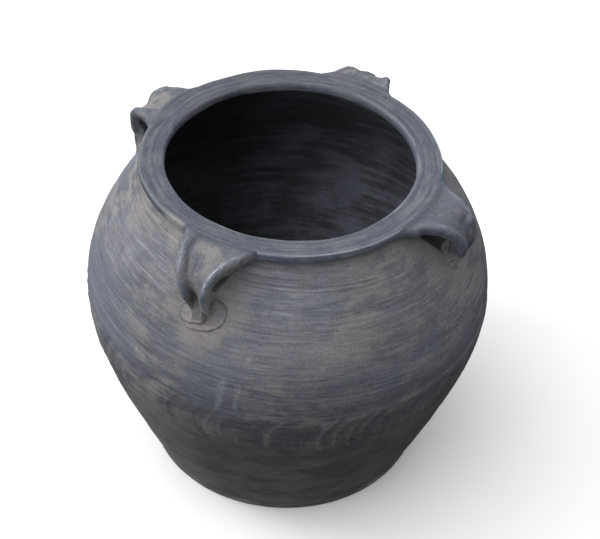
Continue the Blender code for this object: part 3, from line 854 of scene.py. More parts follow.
def strap_field(strap, xs, ys, zs):
    """Distance to a pressed slab between two raised cords, then the share of the way
    down the strap and the places of its cords (left is the low side)."""
    shares = np.linspace(0, 1, 700)
    path = catmull(stations(strap), shares)
    along_path = np.gradient(path[:, :2], axis=0)
    along_path /= np.linalg.norm(along_path, axis=1)[:, None]
    out = np.c_[-along_path[:, 1], along_path[:, 0]]    # square to the path
    out[:] = np.where((out[:, 0] * 0.6 + out[:, 1] * 0.8)[:, None] < 0, -out, out)
    grid_x, grid_z = np.meshgrid(xs, zs, indexing="ij")
    shape = grid_x.shape
    flat = np.c_[grid_x.ravel(), grid_z.ravel()]
    nearest = np.empty(len(flat), int)
    for start in range(0, len(flat), 4096):
        some = flat[start:start + 4096]
        squared = ((some[:, 0:1] - path[None, :, 0]) ** 2
                   + (some[:, 1:2] - path[None, :, 1]) ** 2)
        nearest[start:start + 4096] = squared.argmin(1)

    def on_grid(values):
        return values.reshape(shape)[:, None, :]

    def pick(values):
        return on_grid(values[nearest])

    def wobble(rate, key):
        return noise(np.c_[shares * rate, shares * 0 + key, shares * 0 + strap.seed * 7.3],
                     101 + key)

    offset = flat - path[nearest][:, :2]
    above = on_grid((offset * out[nearest]).sum(1))
    past = on_grid((offset * along_path[nearest]).sum(1))
    place = on_grid(nearest)
    past = np.where(place == 0, -past, np.where(place == len(shares) - 1, past, -1.0))
    run, height, left, right, lift, thick, cord, edge_left, edge_right = path.T
    arc = np.r_[0, np.cumsum(np.hypot(np.diff(run), np.diff(height)))]
    slant_left = pick(np.hypot(1.0, np.gradient(left, arc)))
    slant_right = pick(np.hypot(1.0, np.gradient(right, arc)))
    left = pick(left + 0.0008 * wobble(9, 1))
    right = pick(right + 0.0008 * wobble(7, 2))
    cord_left = pick(cord * (1 + 0.10 * wobble(12, 3))) * strap.cords[0]
    cord_right = pick(cord * (1 + 0.10 * wobble(11, 4))) * strap.cords[1]
    up_left = pick(0.0007 * wobble(10, 5))
    up_right = pick(0.0007 * wobble(9, 6))
    lift, thick = pick(np.clip(lift, 0, 1.3)), pick(thick)
    along = pick(shares)
    across = ys[None, :, None]
    edge_left, edge_right = pick(edge_left), pick(edge_right)
    middle, half = 0.5 * (edge_left + edge_right), 0.5 * (edge_right - edge_left)
    bowl = 1 - 0.30 * np.clip(np.abs(across - middle) / half, 0, 1) ** 2
    roof = -(RIDGE_H * lift) * bowl
    # the fingertip's pit at the lower end of the channel, beside the left cord
    pit = bell(along, PIT, 0.060) * bell(across, pit_middle(left, right), 0.0038)
    roof = roof - 0.0050 * pit
    edge = np.where(across < middle, (middle - half - across) / slant_left - 0.55 * cord_left,
                    (across - middle - half) / slant_right - 0.55 * cord_right) - 0.0004
    field = soft_max(soft_max(edge, above - roof, 0.0022), -thick - above, 0.0026)
    gone = 0.02 * fade(0.0003, 0.0012, cord_left)
    for place, slant, radius, up in ((left, slant_left, cord_left, up_left),
                                     (right, slant_right, cord_right, up_right)):
        tube = np.hypot((across - place) / slant, (above + radius - up) * 0.96) - radius + gone
        field = soft_min(field, tube, 0.0018)
    return np.maximum(field, past).astype(np.float32), along, left, right


def add_lumps(strap, field, x, y, z):
    for (mid_x, mid_y, mid_z), (half_x, half_y, half_z), turn, soft in strap.lumps:
        cos, sin = math.cos(turn), math.sin(turn)
        along = (x - mid_x) * cos + (y - mid_y) * sin
        aside = -(x - mid_x) * sin + (y - mid_y) * cos
        far = np.sqrt((along / half_x) ** 2 + (aside / half_y) ** 2 + ((z - mid_z) / half_z) ** 2)
        lump = ((far - 1) * min(half_x, half_y, half_z)).astype(np.float32)
        field = soft_min(field, lump, soft)
    return field.astype(np.float32)


def outline_distance(polygon, y, z):
    stretched = [(across, height * OUTLINE_STRETCH) for across, height in polygon]
    return polygon_distance(stretched, y, z * OUTLINE_STRETCH)


def outline_mark(shape, verts, width):
    """1 along an outline on the shoulder, fading to 0 beside it."""
    far = outline_distance(shape[0], verts[:, 1], verts[:, 2])
    return bell(far, -(0.2 * width), width)


def lens_field(shape, ys, zs, body, ripple):
    """A thin layer of clay within an outline, lying on a body."""
    polygon, thick = shape
    y, z = np.meshgrid(ys, zs, indexing="ij")
    far = outline_distance(polygon, y, z)[None]
    lip = 0.0007 * bell(far, -0.0020, 0.0013)
    thin = (1 - 0.70 * smooth(-0.004, -0.014, y))[None]
    top = body - (thick * (0.75 + 0.25 * ripple) + lip) * thin
    return soft_max(top, far, 0.0012).astype(np.float32)


def strap_marks(strap, verts, normals, share, left, right):
    """Masks of the cords, the channel, the pit and the painted highlight along the cords' crests.
    """
    across = verts[:, 1]
    bare = smooth(0.12, 0.30, share) * fade(0.68, 0.76, share)
    outward = np.clip(normals[:, 0] * 0.7 + normals[:, 2] * 0.7, 0, 1)
    near = np.minimum(np.abs(across - left), np.abs(across - right))
    to_crest = np.minimum(np.abs(across - left + 0.0004), np.abs(across - right + 0.0012))
    crest = fade(0.0004, 0.0015, to_crest)
    crest = crest * np.where(across < 0.5 * (left + right), *strap.shine)
    crest = crest * smooth(0.10, 0.24, share) * fade(0.58, 0.68, share)
    return {"along": share * 0.115, "across": across,
            "ridge": fade(0.0022, 0.0050, near) * bare * smooth(0.1, 0.6, outward),
            "chan": smooth(0.003, 0.006, near) * bare * outward,
            "pit": bell(share, PIT, 0.068) * bell(across, pit_middle(left, right), 0.0044),
            "crest": crest * smooth(0.55, 0.85, outward)}


def roughen_strap(strap, verts, normals, share, far):
    """Adds hand-made unevenness; returns the new points and the finger's drag lines."""
    x, y, z = verts.T
    seed = strap.seed
    drag = noise(np.c_[share * 5, y * 420, x * 3 + seed * 9], 111)
    lump = layered_noise(verts * 75 + seed * 13.0, octaves=3, seed=112)
    tiny = noise(verts * 330 + seed * 5.0, 113)
    relief = far * (0.00016 * drag + 0.00040 * lump + 0.00007 * tiny)
    if strap.name == "right":                  # the clay tore where this foot was pulled off
        off = (z - 0.3050 - 1.45 * (y + 0.0070)) / 1.76 + 0.0006 * noise(verts * 260, 115)
        relief = relief - (0.0011 * bell(off, 0, 0.0008) * fade(0.001, 0.004, y)
                           * smooth(-0.0125, -0.0100, y) * far)
    return verts + normals * relief[:, None], drag


def build_strap_and_pad(strap, body_lookup):
    step = 0.00052
    wide = strap.name == "right"               # its long root spreads along the rim
    seed = strap.seed
    xs = np.arange(0.1300 if wide else 0.1375, 0.2040, step).astype(np.float32)
    ys = np.arange(-0.0640 if wide else -0.0470, 0.0480, step).astype(np.float32)
    zs = np.arange(0.2740, 0.3720, step).astype(np.float32)
    x, y, z = xs[:, None, None], ys[None, :, None], zs[None, None, :]
    origin = (xs[0], ys[0], zs[0])
    radius = np.sqrt(x ** 2 + y ** 2) + 0 * z
    body = body_lookup(radius, z + 0 * radius).astype(np.float32)
    field, along, left, right = strap_field(strap, xs, ys, zs)
    ripple = (np.sin(ys * 310 + seed)[None, :, None]
              * np.sin(zs * 260 + 2 * seed)[None, None, :])
    pad = lens_field(strap.pad, ys, zs, body, ripple)
    base = soft_min(body, pad, 0.0004)
    tongue = lens_field(strap.tongue, ys, zs, base, ripple)
    field = add_lumps(strap, soft_min(field, tongue, 0.0022), x, y, z)
    blend = (0.0080 if wide else 0.0055) * smooth(0.340, 0.354, z) + 0.0022
    union = soft_min(field, base, blend)
    sink = 0.0012 * smooth(0.40, 1.00, field / blend) + 0.0060 * smooth(1.02, 1.45, field / blend)
    if wide:                                   # the root fades into the rim's band
        sink = sink + 0.0060 * smooth(-0.040, -0.062, y)
    deeper = (0.0024 * hollow_share(strap, y, z)).astype(np.float32)
    piece = np.maximum(union + sink, -(base + 0.0011 + deeper))
    verts, faces = surface_net(piece, origin, step)
    verts = relax(verts, faces)
    normals = normals_of(verts, faces)
    i, j, k = (np.clip(((verts[:, axis] - line[0]) / step).round().astype(int), 0, len(line) - 1)
               for axis, line in enumerate((xs, ys, zs)))
    share = along[i, 0, k]
    from_body = np.abs(body[i, j, k])
    far = smooth(0.0002, 0.0025, from_body)
    verts, drag = roughen_strap(strap, verts, normals, share, far)
    marks = strap_marks(strap, verts, normals, share, left[i, 0, k], right[i, 0, k])
    mark = outline_mark(strap.tongue, verts, 0.0007) * fade(0.0025, 0.0050, from_body)
    mark = mark * smooth(0.314, 0.308, verts[:, 2])
    mark = mark * np.clip(0.85 + 0.7 * noise(verts * 150 + seed, 114), 0.25, 1) * strap.mark
    strap_obj = make_object("handle_%s_look" % strap.name, hand_bend(to_world(strap, verts)),
                            faces, {**marks, "fine": drag, "mark": mark}, sharp=False)

    # the pad, without the part of the shoulder it lies on
    lift = 0.0009 * smooth(0.0004, 0.0016, pad) + 0.0060 * smooth(0.0011, 0.0024, pad)
    # summed left to right, so that it rounds as the field does
    piece = base + 0.0009 * smooth(0.0004, 0.0016, pad) + (lift - 0.0009 * smooth(
        0.0004, 0.0016, pad))
    piece = np.maximum(piece, -(body + 0.0011 + deeper))
    verts, faces = surface_net(piece, origin, step)
    normals = normals_of(verts, faces)
    top = normals[:, 0] * 0.8 + normals[:, 2] * 0.6
    relief = 0.00022 * layered_noise(verts * 130 + seed * 3.0, octaves=2, seed=121)
    verts = verts + normals * (relief * smooth(0.2, 0.7, top))[:, None]
    mark = outline_mark(strap.pad, verts, 0.0011)
    mark = mark * np.clip(0.75 + 0.9 * noise(verts * 120 + seed, 122), 0.1, 1) * strap.mark
    pad_obj = make_object("luting_pad_%s_look" % strap.name, hand_bend(to_world(strap, verts)),
                          faces, {"mark": mark}, sharp=False)
    return strap_obj, pad_obj


# ------------------------------------------------------------- shader expressions
class Value:
    """A node's output; arithmetic on it adds nodes."""
    def __init__(self, graph, socket):
        self.graph, self.socket = graph, socket

    def __add__(self, other):
        return self.graph.math("ADD", self, other)

    def __radd__(self, other):
        return self.graph.math("ADD", other, self)

    def __mul__(self, other):
        return self.graph.math("MULTIPLY", self, other)

    def __sub__(self, other):
        return self.graph.math("SUBTRACT", self, other)

    def __rsub__(self, other):
        return self.graph.math("SUBTRACT", other, self)

    def __truediv__(self, other):
        return self.graph.math("DIVIDE", self, other)

    def __abs__(self):
        return self.graph.math("ABSOLUTE", self)

    def centred(self):
        return self + -0.5

    def ease(self, start, end, to=(0.0, 1.0), curve="SMOOTHSTEP"):
        """Maps start..end onto the two values of to, and holds them beyond."""
        return self.graph.add("ShaderNodeMapRange", dict(enumerate((self, start, end, *to))),
                              interpolation_type=curve)

    def linear(self, start, end, to):
        return self.ease(start, end, to, "LINEAR")

    def toward(self, color, share):
        return self.graph.mix(share, self, color)

    def scaled(self, factor):
        return self.graph.scale(self, factor)


class Graph:
    """Writes the node tree of a material or world as expressions."""
    def __init__(self, owner):
        owner.use_nodes = True
        self.owner, self.tree = owner, owner.node_tree
        self.tree.nodes.clear()

    def add(self, kind, inputs=(), output=0, **settings):
        node = self.tree.nodes.new(kind)
        for key, value in settings.items():
            setattr(node, key, value)
        for slot, value in dict(inputs).items():
            if isinstance(value, Value):
                self.tree.links.new(value.socket, node.inputs[slot])
            else:
                node.inputs[slot].default_value = value
        return Value(self, node.outputs[output])

    def math(self, operation, *terms):
        return self.add("ShaderNodeMath", dict(enumerate(terms)), operation=operation)

    def vector(self, x, y, z):
        return self.add("ShaderNodeCombineXYZ", {0: x, 1: y, 2: z})

    def noise(self, where, scale=1.0, detail=2.0, rough=0.5, distort=0.0, shift=None):
        if shift is not None:
            where = self.add("ShaderNodeVectorMath", {0: where, 1: shift}, operation="ADD")
        return self.add("ShaderNodeTexNoise", {
            "Vector": where, "Scale": scale, "Detail": detail, "Roughness": rough,
            "Distortion": distort}, noise_dimensions="3D")

    def mix(self, share, start, end):
        start, end = (color if isinstance(color, Value) else (*color, 1.0)
                      for color in (start, end))
        return self.add("ShaderNodeMix", {0: share, 6: start, 7: end}, output=2,
                        data_type="RGBA", clamp_factor=True)

    def scale(self, color, factor):
        return self.add("ShaderNodeVectorMath", {0: color, "Scale": factor}, operation="SCALE")

    def principled(self, **inputs):
        slots = {key.replace("_", " "): value for key, value in inputs.items()}
        return self.add("ShaderNodeBsdfPrincipled", slots)

    def end(self, kind, shader):
        node = self.tree.nodes.new(kind)
        self.tree.links.new(shader.socket, node.inputs["Surface"])
        return self.owner


class Clay(Graph):
    """A clay material, with places on the jar as values."""
    def __init__(self, name):
        super().__init__(bpy.data.materials.new(name))
        self.place = self.add("ShaderNodeTexCoord", output="Object")
        parts = self.add("ShaderNodeSeparateXYZ", {0: self.place}).socket.node.outputs
        self.x, self.y, self.z = (Value(self, part) for part in parts)
        root = self.math("SQRT", self.x * self.x + self.y * self.y)
        self.radius = self.math("MAXIMUM", root, 1e-4)

    @cached_property
    def ring(self):
        return self.x / self.radius * 0.2, self.y / self.radius * 0.2

    @cached_property
    def across(self):
        return self.x * TURN[0] + self.y * TURN[1]

    def blots(self, scale, **settings):
        return self.noise(self.place, scale, **settings)

    def rings(self, level, around, up, **settings):
        x, y = self.ring
        return self.noise(self.vector(x * around, y * around, level * up), **settings)

    def constant(self, number):
        value = self.add("ShaderNodeValue")
        value.socket.default_value = number
        return value

    def attribute(self, name):
        return self.add("ShaderNodeAttribute", output="Fac", attribute_name=name)

    def pointiness(self):
        return self.add("ShaderNodeNewGeometry", output="Pointiness")

    def distance(self, point):
        return self.add("ShaderNodeVectorMath", {0: self.place, 1: point}, output="Value",
                        operation="DISTANCE")

    def curve(self, value, stops):
        result = self.add("ShaderNodeValToRGB", {0: value})
        ramp = result.socket.node.color_ramp
        ramp.interpolation = "EASE"
        for element, (place, gray) in zip(ramp.elements, (stops[0], stops[-1])):
            element.position = place
            element.color = (gray, gray, gray, 1)
        for place, gray in stops[1:-1]:
            ramp.elements.new(place).color = (gray, gray, gray, 1)
        return result

    def finish(self, color, rough, height, depth):
        normal = self.add("ShaderNodeBump",
                          {"Strength": 1.0, "Distance": depth, "Height": height})
        return self.end("ShaderNodeOutputMaterial", self.principled(
            Base_Color=color, Roughness=rough, Normal=normal,
            Specular_IOR_Level=0.34, Diffuse_Roughness=0.6))


# ---------------------------------------------------------------- clay materials
TAN = (0.182, 0.176, 0.168)        # dry dusty clay
PALE = (0.238, 0.240, 0.247)       # rubbed, dusty highlights
WASH = (0.142, 0.157, 0.188)       # thin blue-grey film
SLATE = (0.092, 0.098, 0.116)      # burnished streaks
DEEP = (0.052, 0.058, 0.071)       # the darkest streaks
INSIDE_SHADE = (0.028, 0.029, 0.032)       # near black: painted shade of the deep jar's inside
EARTH = (0.085, 0.078, 0.066)      # dull brown in hollows

# how blue the wall is: share of BLUE_HEIGHT, value
BLUE_HEIGHT = 0.36
BLUE_STOPS = [(0.0, 0.46), (0.12, 0.40), (0.30, 0.47), (0.45, 0.50), (0.555, 0.58), (0.60, 0.66),
              (0.70, 0.60), (0.80, 0.50), (0.87, 0.57), (0.93, 0.46), (1.0, 0.44)]
# lines round the neck and the belly: height, half width, share, colour
WALL_LINES = ((0.3372, 0.0006, 0.60, DEEP), (0.3350, 0.0004, 0.35, DEEP),
              (0.3322, 0.0006, 0.55, DEEP), (0.3290, 0.0004, 0.40, DEEP),
              (0.3236, 0.0005, 0.30, DEEP), (0.3396, 0.0005, 0.35, PALE),
              (0.2478, 0.0007, 0.50, WASH), (0.2455, 0.0004, 0.40, DEEP),
              (0.2330, 0.0006, 0.40, WASH), (0.2240, 0.0005, 0.35, DEEP),
              (0.2125, 0.0007, 0.35, WASH))
# wipes of a wet finger: strap, degrees beside it, lean in degrees,
# from and to (shares of the jar's height), half width, share
WIPES = (("front", 10, 2, 0.565, 0.705, 0.0060, 0.72), ("front", 14.5, 1, 0.57, 0.69, 0.0040, 0.62),
         ("front", 18, -8, 0.54, 0.59, 0.0030, 0.30), ("front", 38, -3, 0.50, 0.57, 0.0030, 0.22),
         ("right", 8, 3, 0.59, 0.71, 0.0040, 0.35), ("back", 30, -3, 0.52, 0.65, 0.0040, 0.35),
         ("left", 23, 2, 0.62, 0.72, 0.0035, 0.35))
# dust or film: strap, degrees beside it, share of the jar's height, size, share, colour
PATCHES = (("front", 10, 0.84, 0.028, 0.62, (0.228, 0.222, 0.212)),
           ("front", -10, 0.89, 0.018, 0.45, (0.200, 0.198, 0.196)),
           ("front", -18, 0.94, 0.017, 0.75, (0.235, 0.228, 0.218)),
           ("front", 42, 0.76, 0.020, 0.45, (0.190, 0.192, 0.196)),
           ("front", 32, 0.72, 0.012, 0.30, TAN), ("front", 50, 0.74, 0.014, 0.30, TAN),
           ("front", 45, 0.65, 0.016, 0.28, (0.150, 0.155, 0.165)),
           ("right", -30, 0.80, 0.028, 0.42, (0.118, 0.130, 0.152)))


def grit(clay):
    """Grain that every piece shares: brightness around 1, and its height."""
    grain = clay.blots(820.0, rough=0.65)
    sand = clay.blots(380.0, rough=0.6, shift=(3, 3, 3))
    speck = clay.blots(250.0, detail=1, shift=(5, 5, 5))
    tone = (1.0 + grain.linear(0.25, 0.75, to=(-0.16, 0.16))
            + sand.linear(0.25, 0.75, to=(-0.16, 0.16))
            + speck.ease(0.68, 0.77, to=(0, -0.26)) + speck.ease(0.32, 0.23, to=(0, 0.26)))
    return tone, grain * 0.30 + sand * 0.35 + speck * 0.25


def add_wall_lines(clay, color, level, quiet):
    sway = clay.rings(level, around=5, up=1, detail=1, shift=(3, 3, 1)).centred() * 0.0030
    apart = clay.rings(level, around=13, up=60, detail=3, rough=0.6, shift=(5, 2, 1))
    for height, half, share, line_color in WALL_LINES:
        far = abs(level + sway - height)
        part = apart.ease(0.52, 0.42) if line_color is WASH else apart.ease(0.40, 0.56)
        line = far.ease(half * 2.0, half * 0.4, to=(0, share))
        color = color.toward(line_color, line * part * quiet)
    return color


def add_wipes(clay, color, wobble):
    turn = clay.math("ARCTAN2", clay.y, clay.x)
    for side, beside, lean, start, end, half, share in WIPES:
        start, end = start * RIM_TOP, end * RIM_TOP
        angle = STRAPS[side].angle + math.radians(beside)
        angle = (angle + math.pi) % (2 * math.pi) - math.pi
        leaning = (clay.z + -(0.5 * (start + end))) * (math.radians(lean) / 0.05) + angle
        far = abs((turn - leaning) * 0.2) + wobble
        ends = ((clay.z + wobble).ease(start, start + 0.010)
                * (clay.z + wobble).ease(end, end - 0.012))
        thin = clay.rings(clay.z, around=420, up=90, detail=3, rough=0.6,
                          shift=(math.degrees(angle), 0, 0)).ease(0.36, 0.58, to=(0.35, 1.0))
        color = color.toward((0.178, 0.196, 0.232),
                             far.ease(half, half * 0.15) * ends * thin * share)
    return color


def add_spots(clay, color, wobble):
    """Bare knocks, then larger patches beside the straps."""
    spots = [(angle, z, size * 1.1, 0.55, PALE if k % 2 else EARTH)
             for k, (angle, z, size, _) in enumerate(KNOCKS)]
    spots += [(STRAPS[side].angle + math.radians(beside), up * RIM_TOP, size, share, patch)
              for side, beside, up, size, share, patch in PATCHES]
    for angle, z, size, share, spot_color in spots:
        radius = float(wall_radius(z))
        far = clay.distance((radius * math.cos(angle), radius * math.sin(angle), z))
        ragged = far + wobble * (0.45 if size < 0.005 else 1.2)
        color = color.toward(spot_color, ragged.ease(size, size * 0.35) * share)
    return color


def wall_tint(clay, on_wall=False):
    """Colour and slate share of the outer wall, and its streak and hair noises. Off
    the wall it is smeared clay, without the wall's own marks."""
    halo = clay.attribute("halo") if on_wall else clay.constant(1.0)
    level = clay.z + clay.across * OUTER_TILT
    clouds = clay.blots(13.0, detail=5, rough=0.6)
    blot = clay.rings(level, around=26, up=44, detail=5, rough=0.64, distort=0.35)
    band = clay.rings(level, around=11, up=120, shift=(3.1, 1.7, 0))
    streak = clay.rings(level, around=34, up=430, detail=3, rough=0.62, shift=(7.7, 2.2, 0))
    hair = clay.rings(level, around=46, up=980, rough=0.6, shift=(1.2, 9.9, 0))
    cluster = clay.rings(level, around=15, up=34, shift=(0, 4, 2))
    blue = clay.curve(level / BLUE_HEIGHT, BLUE_STOPS)
    low = level.ease(0.205, 0.150)
    lined = blot * 0.50 + streak * 0.21 + band * 0.11 + clouds * 0.18
    plain = blot * 0.35 + clouds * 0.55 + streak * 0.10
    calm = clay.math("MAXIMUM", halo * 0.92, low * 0.70)
    amount = clay.add("ShaderNodeMix", {0: calm, 2: lined, 3: plain}, data_type="FLOAT")
    amount = amount + blue.centred() * 0.30 + halo * -0.09
    slate = amount.ease(0.450, 0.565)
    color = clay.mix(slate, TAN, SLATE)
    # a blue-grey film, made stronger towards the camera's left as painted sheen where the light
    # falls
    wash = clay.blots(7.0, detail=3, shift=(1, 2, 9)) + clay.across * -0.45
    wash = wash.ease(0.42, 0.62, to=(0.0, 0.60))
    color = color.toward(WASH, wash * (1.0 - halo) * (1.0 - low * 0.6))
    quiet = 1.0 - calm
    thread = clay.rings(level, around=30, up=560, rough=0.55, shift=(2.2, 5.1, 0))
    dark_lines = thread.ease(0.52, 0.63) * cluster.ease(0.42, 0.58) * quiet
    color = color.toward(DEEP, dark_lines * 0.42)
    pale_lines = thread.ease(0.45, 0.35) * cluster.ease(0.56, 0.44) * quiet
    color = color.toward(PALE, pale_lines * 0.48)
    dust = clay.blots(28.0, detail=4, rough=0.6, shift=(4, 1, 1))
    color = color.toward(PALE, dust.ease(0.55, 0.72, to=(0, 0.35)))
    # the lower wall is duller, browner and more even
    color = color.toward((0.128, 0.126, 0.124), low * 0.45)
    color = color.toward((0.122, 0.127, 0.136), clay.across.ease(0.03, 0.12, to=(0.0, 0.36)))
    film = (level.ease(0.200, 0.215) * level.ease(0.285, 0.255)
            * clouds.ease(0.40, 0.60, to=(0.15, 0.55)))
    color = color.toward((0.112, 0.128, 0.158), film * quiet)
    # brightness by height: darkest below the belly, a little lighter again near the foot, slightly
    # brighter high on the shoulder; partly the lower wall's duller clay, partly painted shade
    dull = (level.ease(0.175, 0.262, to=(0.54, 0.97)) + level.ease(0.12, 0.0, to=(0.0, 0.12))
            + level.ease(0.262, 0.31, to=(0.0, 0.06)))
    # painted light and shade low on the wall: the camera's left flank up to 1.3 times, its right
    # flank 1.12 times as bright as the darker front
    side = (clay.across.ease(-0.15, -0.04, to=(1.30, 1.0))
            * clay.across.ease(0.05, 0.13, to=(1.0, 1.12)))
    side = 1.0 + (side + -1.0) * level.ease(0.245, 0.215)
    color = add_wall_lines(clay, color.scaled(dull * side), level, quiet)
    if on_wall:
        stroke = clay.attribute("stroke")
        color = color.toward((0.150, 0.157, 0.172), stroke.ease(0.10, 0.95, to=(0, 0.42)))
        color = color.toward((0.048, 0.053, 0.064), stroke.ease(0.00, -0.85, to=(0, 0.45)))
        wobble = clay.blots(60.0, detail=3, rough=0.6).centred() * 0.012
        color = add_spots(clay, add_wipes(clay, color, wobble), wobble)
    comb = clay.rings(level, around=7, up=470, detail=1, shift=(6.1, 3.3, 0))
    comb_share = clay.rings(level, around=8, up=12, shift=(2, 8, 1))
    comb_share = comb_share.ease(0.38, 0.58, to=(0.35, 1.0))
    tone = (hair.linear(0.3, 0.7, to=(0.88, 1.12))
            + comb.linear(0.3, 0.7, to=(-0.16, 0.16)) * comb_share * quiet)
    if on_wall:
        tone = tone + clay.attribute("fine") * 0.05
    return color.scaled(tone), slate, streak, hair


def clay_wall(name):
    clay = Clay(name)
    color, slate, streak, hair = wall_tint(clay, on_wall=True)
    # painted shade: the finger hollow behind each strap is painted near black
    color = color.toward((0.024, 0.022, 0.019), clay.attribute("hollow") * 0.90)
    tone, grain = grit(clay)
    color = color.scaled(tone)
    # inside: near black painted shade of the deep jar, with thin horizontal wipes; painted light
    # and shade make it brighter low down and towards the camera's right, darker high up and to its
    # left
    level = clay.z + clay.across * INNER_TILT
    wipe = (clay.rings(level, around=14, up=120, detail=3, rough=0.6) * 0.5
            + clay.blots(16.0, detail=4, rough=0.6) * 0.5)
    shaded_inside = clay.mix(wipe.ease(0.42, 0.60), INSIDE_SHADE, (0.060, 0.066, 0.080))
    shaded_inside = shaded_inside.scaled(clay.z.ease(0.30, 0.08, to=(0.50, 2.10))
                       * clay.across.ease(-0.10, 0.12, to=(0.25, 2.30)))
    color = color.toward(shaded_inside.scaled(tone), clay.attribute("inside"))
    rough = slate.ease(0, 1, to=(0.80, 0.58)) + (tone + -1.0) * 0.25
    return clay.finish(color, rough, streak * 0.55 + hair * 0.30 + grain, depth=0.00042)


# rings on the rim's top: radius, half width, share, colour
RIM_LINES = ((0.1276, 0.0009, 0.40, PALE), (0.1312, 0.0010, 0.32, DEEP),
             (0.1345, 0.0008, 0.25, PALE), (0.1405, 0.0010, 0.25, PALE),
             (0.1438, 0.0009, 0.28, DEEP), (0.1472, 0.0010, 0.22, PALE))


def rim_tint(clay):
    """Colour and slate share of the rim, and its flat and hair noises."""
    level = clay.z - clay.radius
    flat = clay.rings(level, around=22, up=460, detail=3, rough=0.62)
    band = clay.rings(level, around=8, up=170, shift=(4, 1, 0))
    blot = clay.rings(level, around=24, up=60, detail=4, rough=0.62, distort=0.3,
                      shift=(8, 3, 0))
    clouds = clay.blots(19.0, detail=4, rough=0.6)
    hair = clay.rings(level, around=34, up=1000, rough=0.6)
    amount = flat * 0.24 + band * 0.18 + blot * 0.30 + clouds * 0.28
    slate = amount.ease(0.42, 0.565, to=(0.15, 1.0))
    color = clay.mix(slate, (0.127, 0.138, 0.153), (0.054, 0.067, 0.096))
    pale = flat * 0.45 + clouds * 0.35 + band * 0.20
    color = color.toward((0.150, 0.162, 0.188), pale.ease(0.52, 0.66, to=(0, 0.50)))
    waver = clay.rings(level, around=6, up=1).centred() * 0.006
    broken = clay.rings(level, around=16, up=1, detail=3, rough=0.6, shift=(9, 9, 0))
    broken = broken.ease(0.38, 0.60)
    for radius, half, share, line_color in RIM_LINES:
        far = abs(clay.radius + waver - radius)
        color = color.toward(line_color, far.ease(half * 1.8, half * 0.4, to=(0, share))
                             * broken * clay.z.ease(RIM_TOP - 0.006, RIM_TOP - 0.003))
    behind = clay.x * -TURN[1] + clay.y * TURN[0]
    color = color.scaled(hair.linear(0.3, 0.7, to=(0.74, 0.90))
                         * behind.ease(0.04, 0.13, to=(1.0, 0.86)))
    return color, slate, flat, hair


def clay_rim(name):
    clay = Clay(name)
    color, slate, flat, hair = rim_tint(clay)
    # painted highlight on the rim's sharp edges
    edge = clay.pointiness().ease(0.506, 0.530, to=(0, 0.45))
    color = color.toward((0.185, 0.202, 0.230), edge)
    # painted light on the rim's outer band: up to half again as bright from the front round to the
    # camera's right, a little darker at its far left
    color = color.scaled(1.0 + clay.radius.ease(0.1490, 0.1500)
                         * clay.across.ease(-0.13, -0.02, to=(-0.12, 0.50)))
    # painted highlight along the rim's outer top edge, broken, faint towards the camera's left
    arris = (abs(clay.radius + -0.1493).ease(0.0011, 0.0003)
             * clay.z.ease(RIM_TOP - 0.003, RIM_TOP - 0.0012))
    arris = arris * clay.rings(clay.z, around=22, up=1, detail=3, rough=0.6).ease(
        0.38, 0.62, to=(0.05, 0.75))
    arris = arris * clay.across.ease(-0.10, -0.03, to=(0.25, 1.0))
    color = color.toward((0.245, 0.262, 0.290), arris)
    # clay smeared over the edge beside the front strap
    angle = math.radians(-109.0)
    smear = clay.distance((0.1500 * math.cos(angle), 0.1500 * math.sin(angle), 0.3570))
    smear = smear + clay.blots(70.0, detail=3, rough=0.6).centred() * 0.020
    smear = smear.ease(0.022, 0.010, to=(0, 0.75))
    color = color.toward((0.215, 0.210, 0.202), smear * clay.radius.ease(0.1440, 0.1480))
    # painted shade where the inner lip turns down into the mouth
    under = (clay.z.ease(RIM_TOP - 0.0075, RIM_TOP - 0.0100)
             * clay.radius.ease(0.137, 0.134))
    color = color.toward(INSIDE_SHADE, under * 0.8)
    tone, grain = grit(clay)
    rough = slate.ease(0, 1, to=(0.74, 0.54)) + (tone + -1.0) * 0.20
    return clay.finish(color.scaled(tone), rough, flat * 0.45 + hair * 0.25 + grain,
                       depth=0.00040)


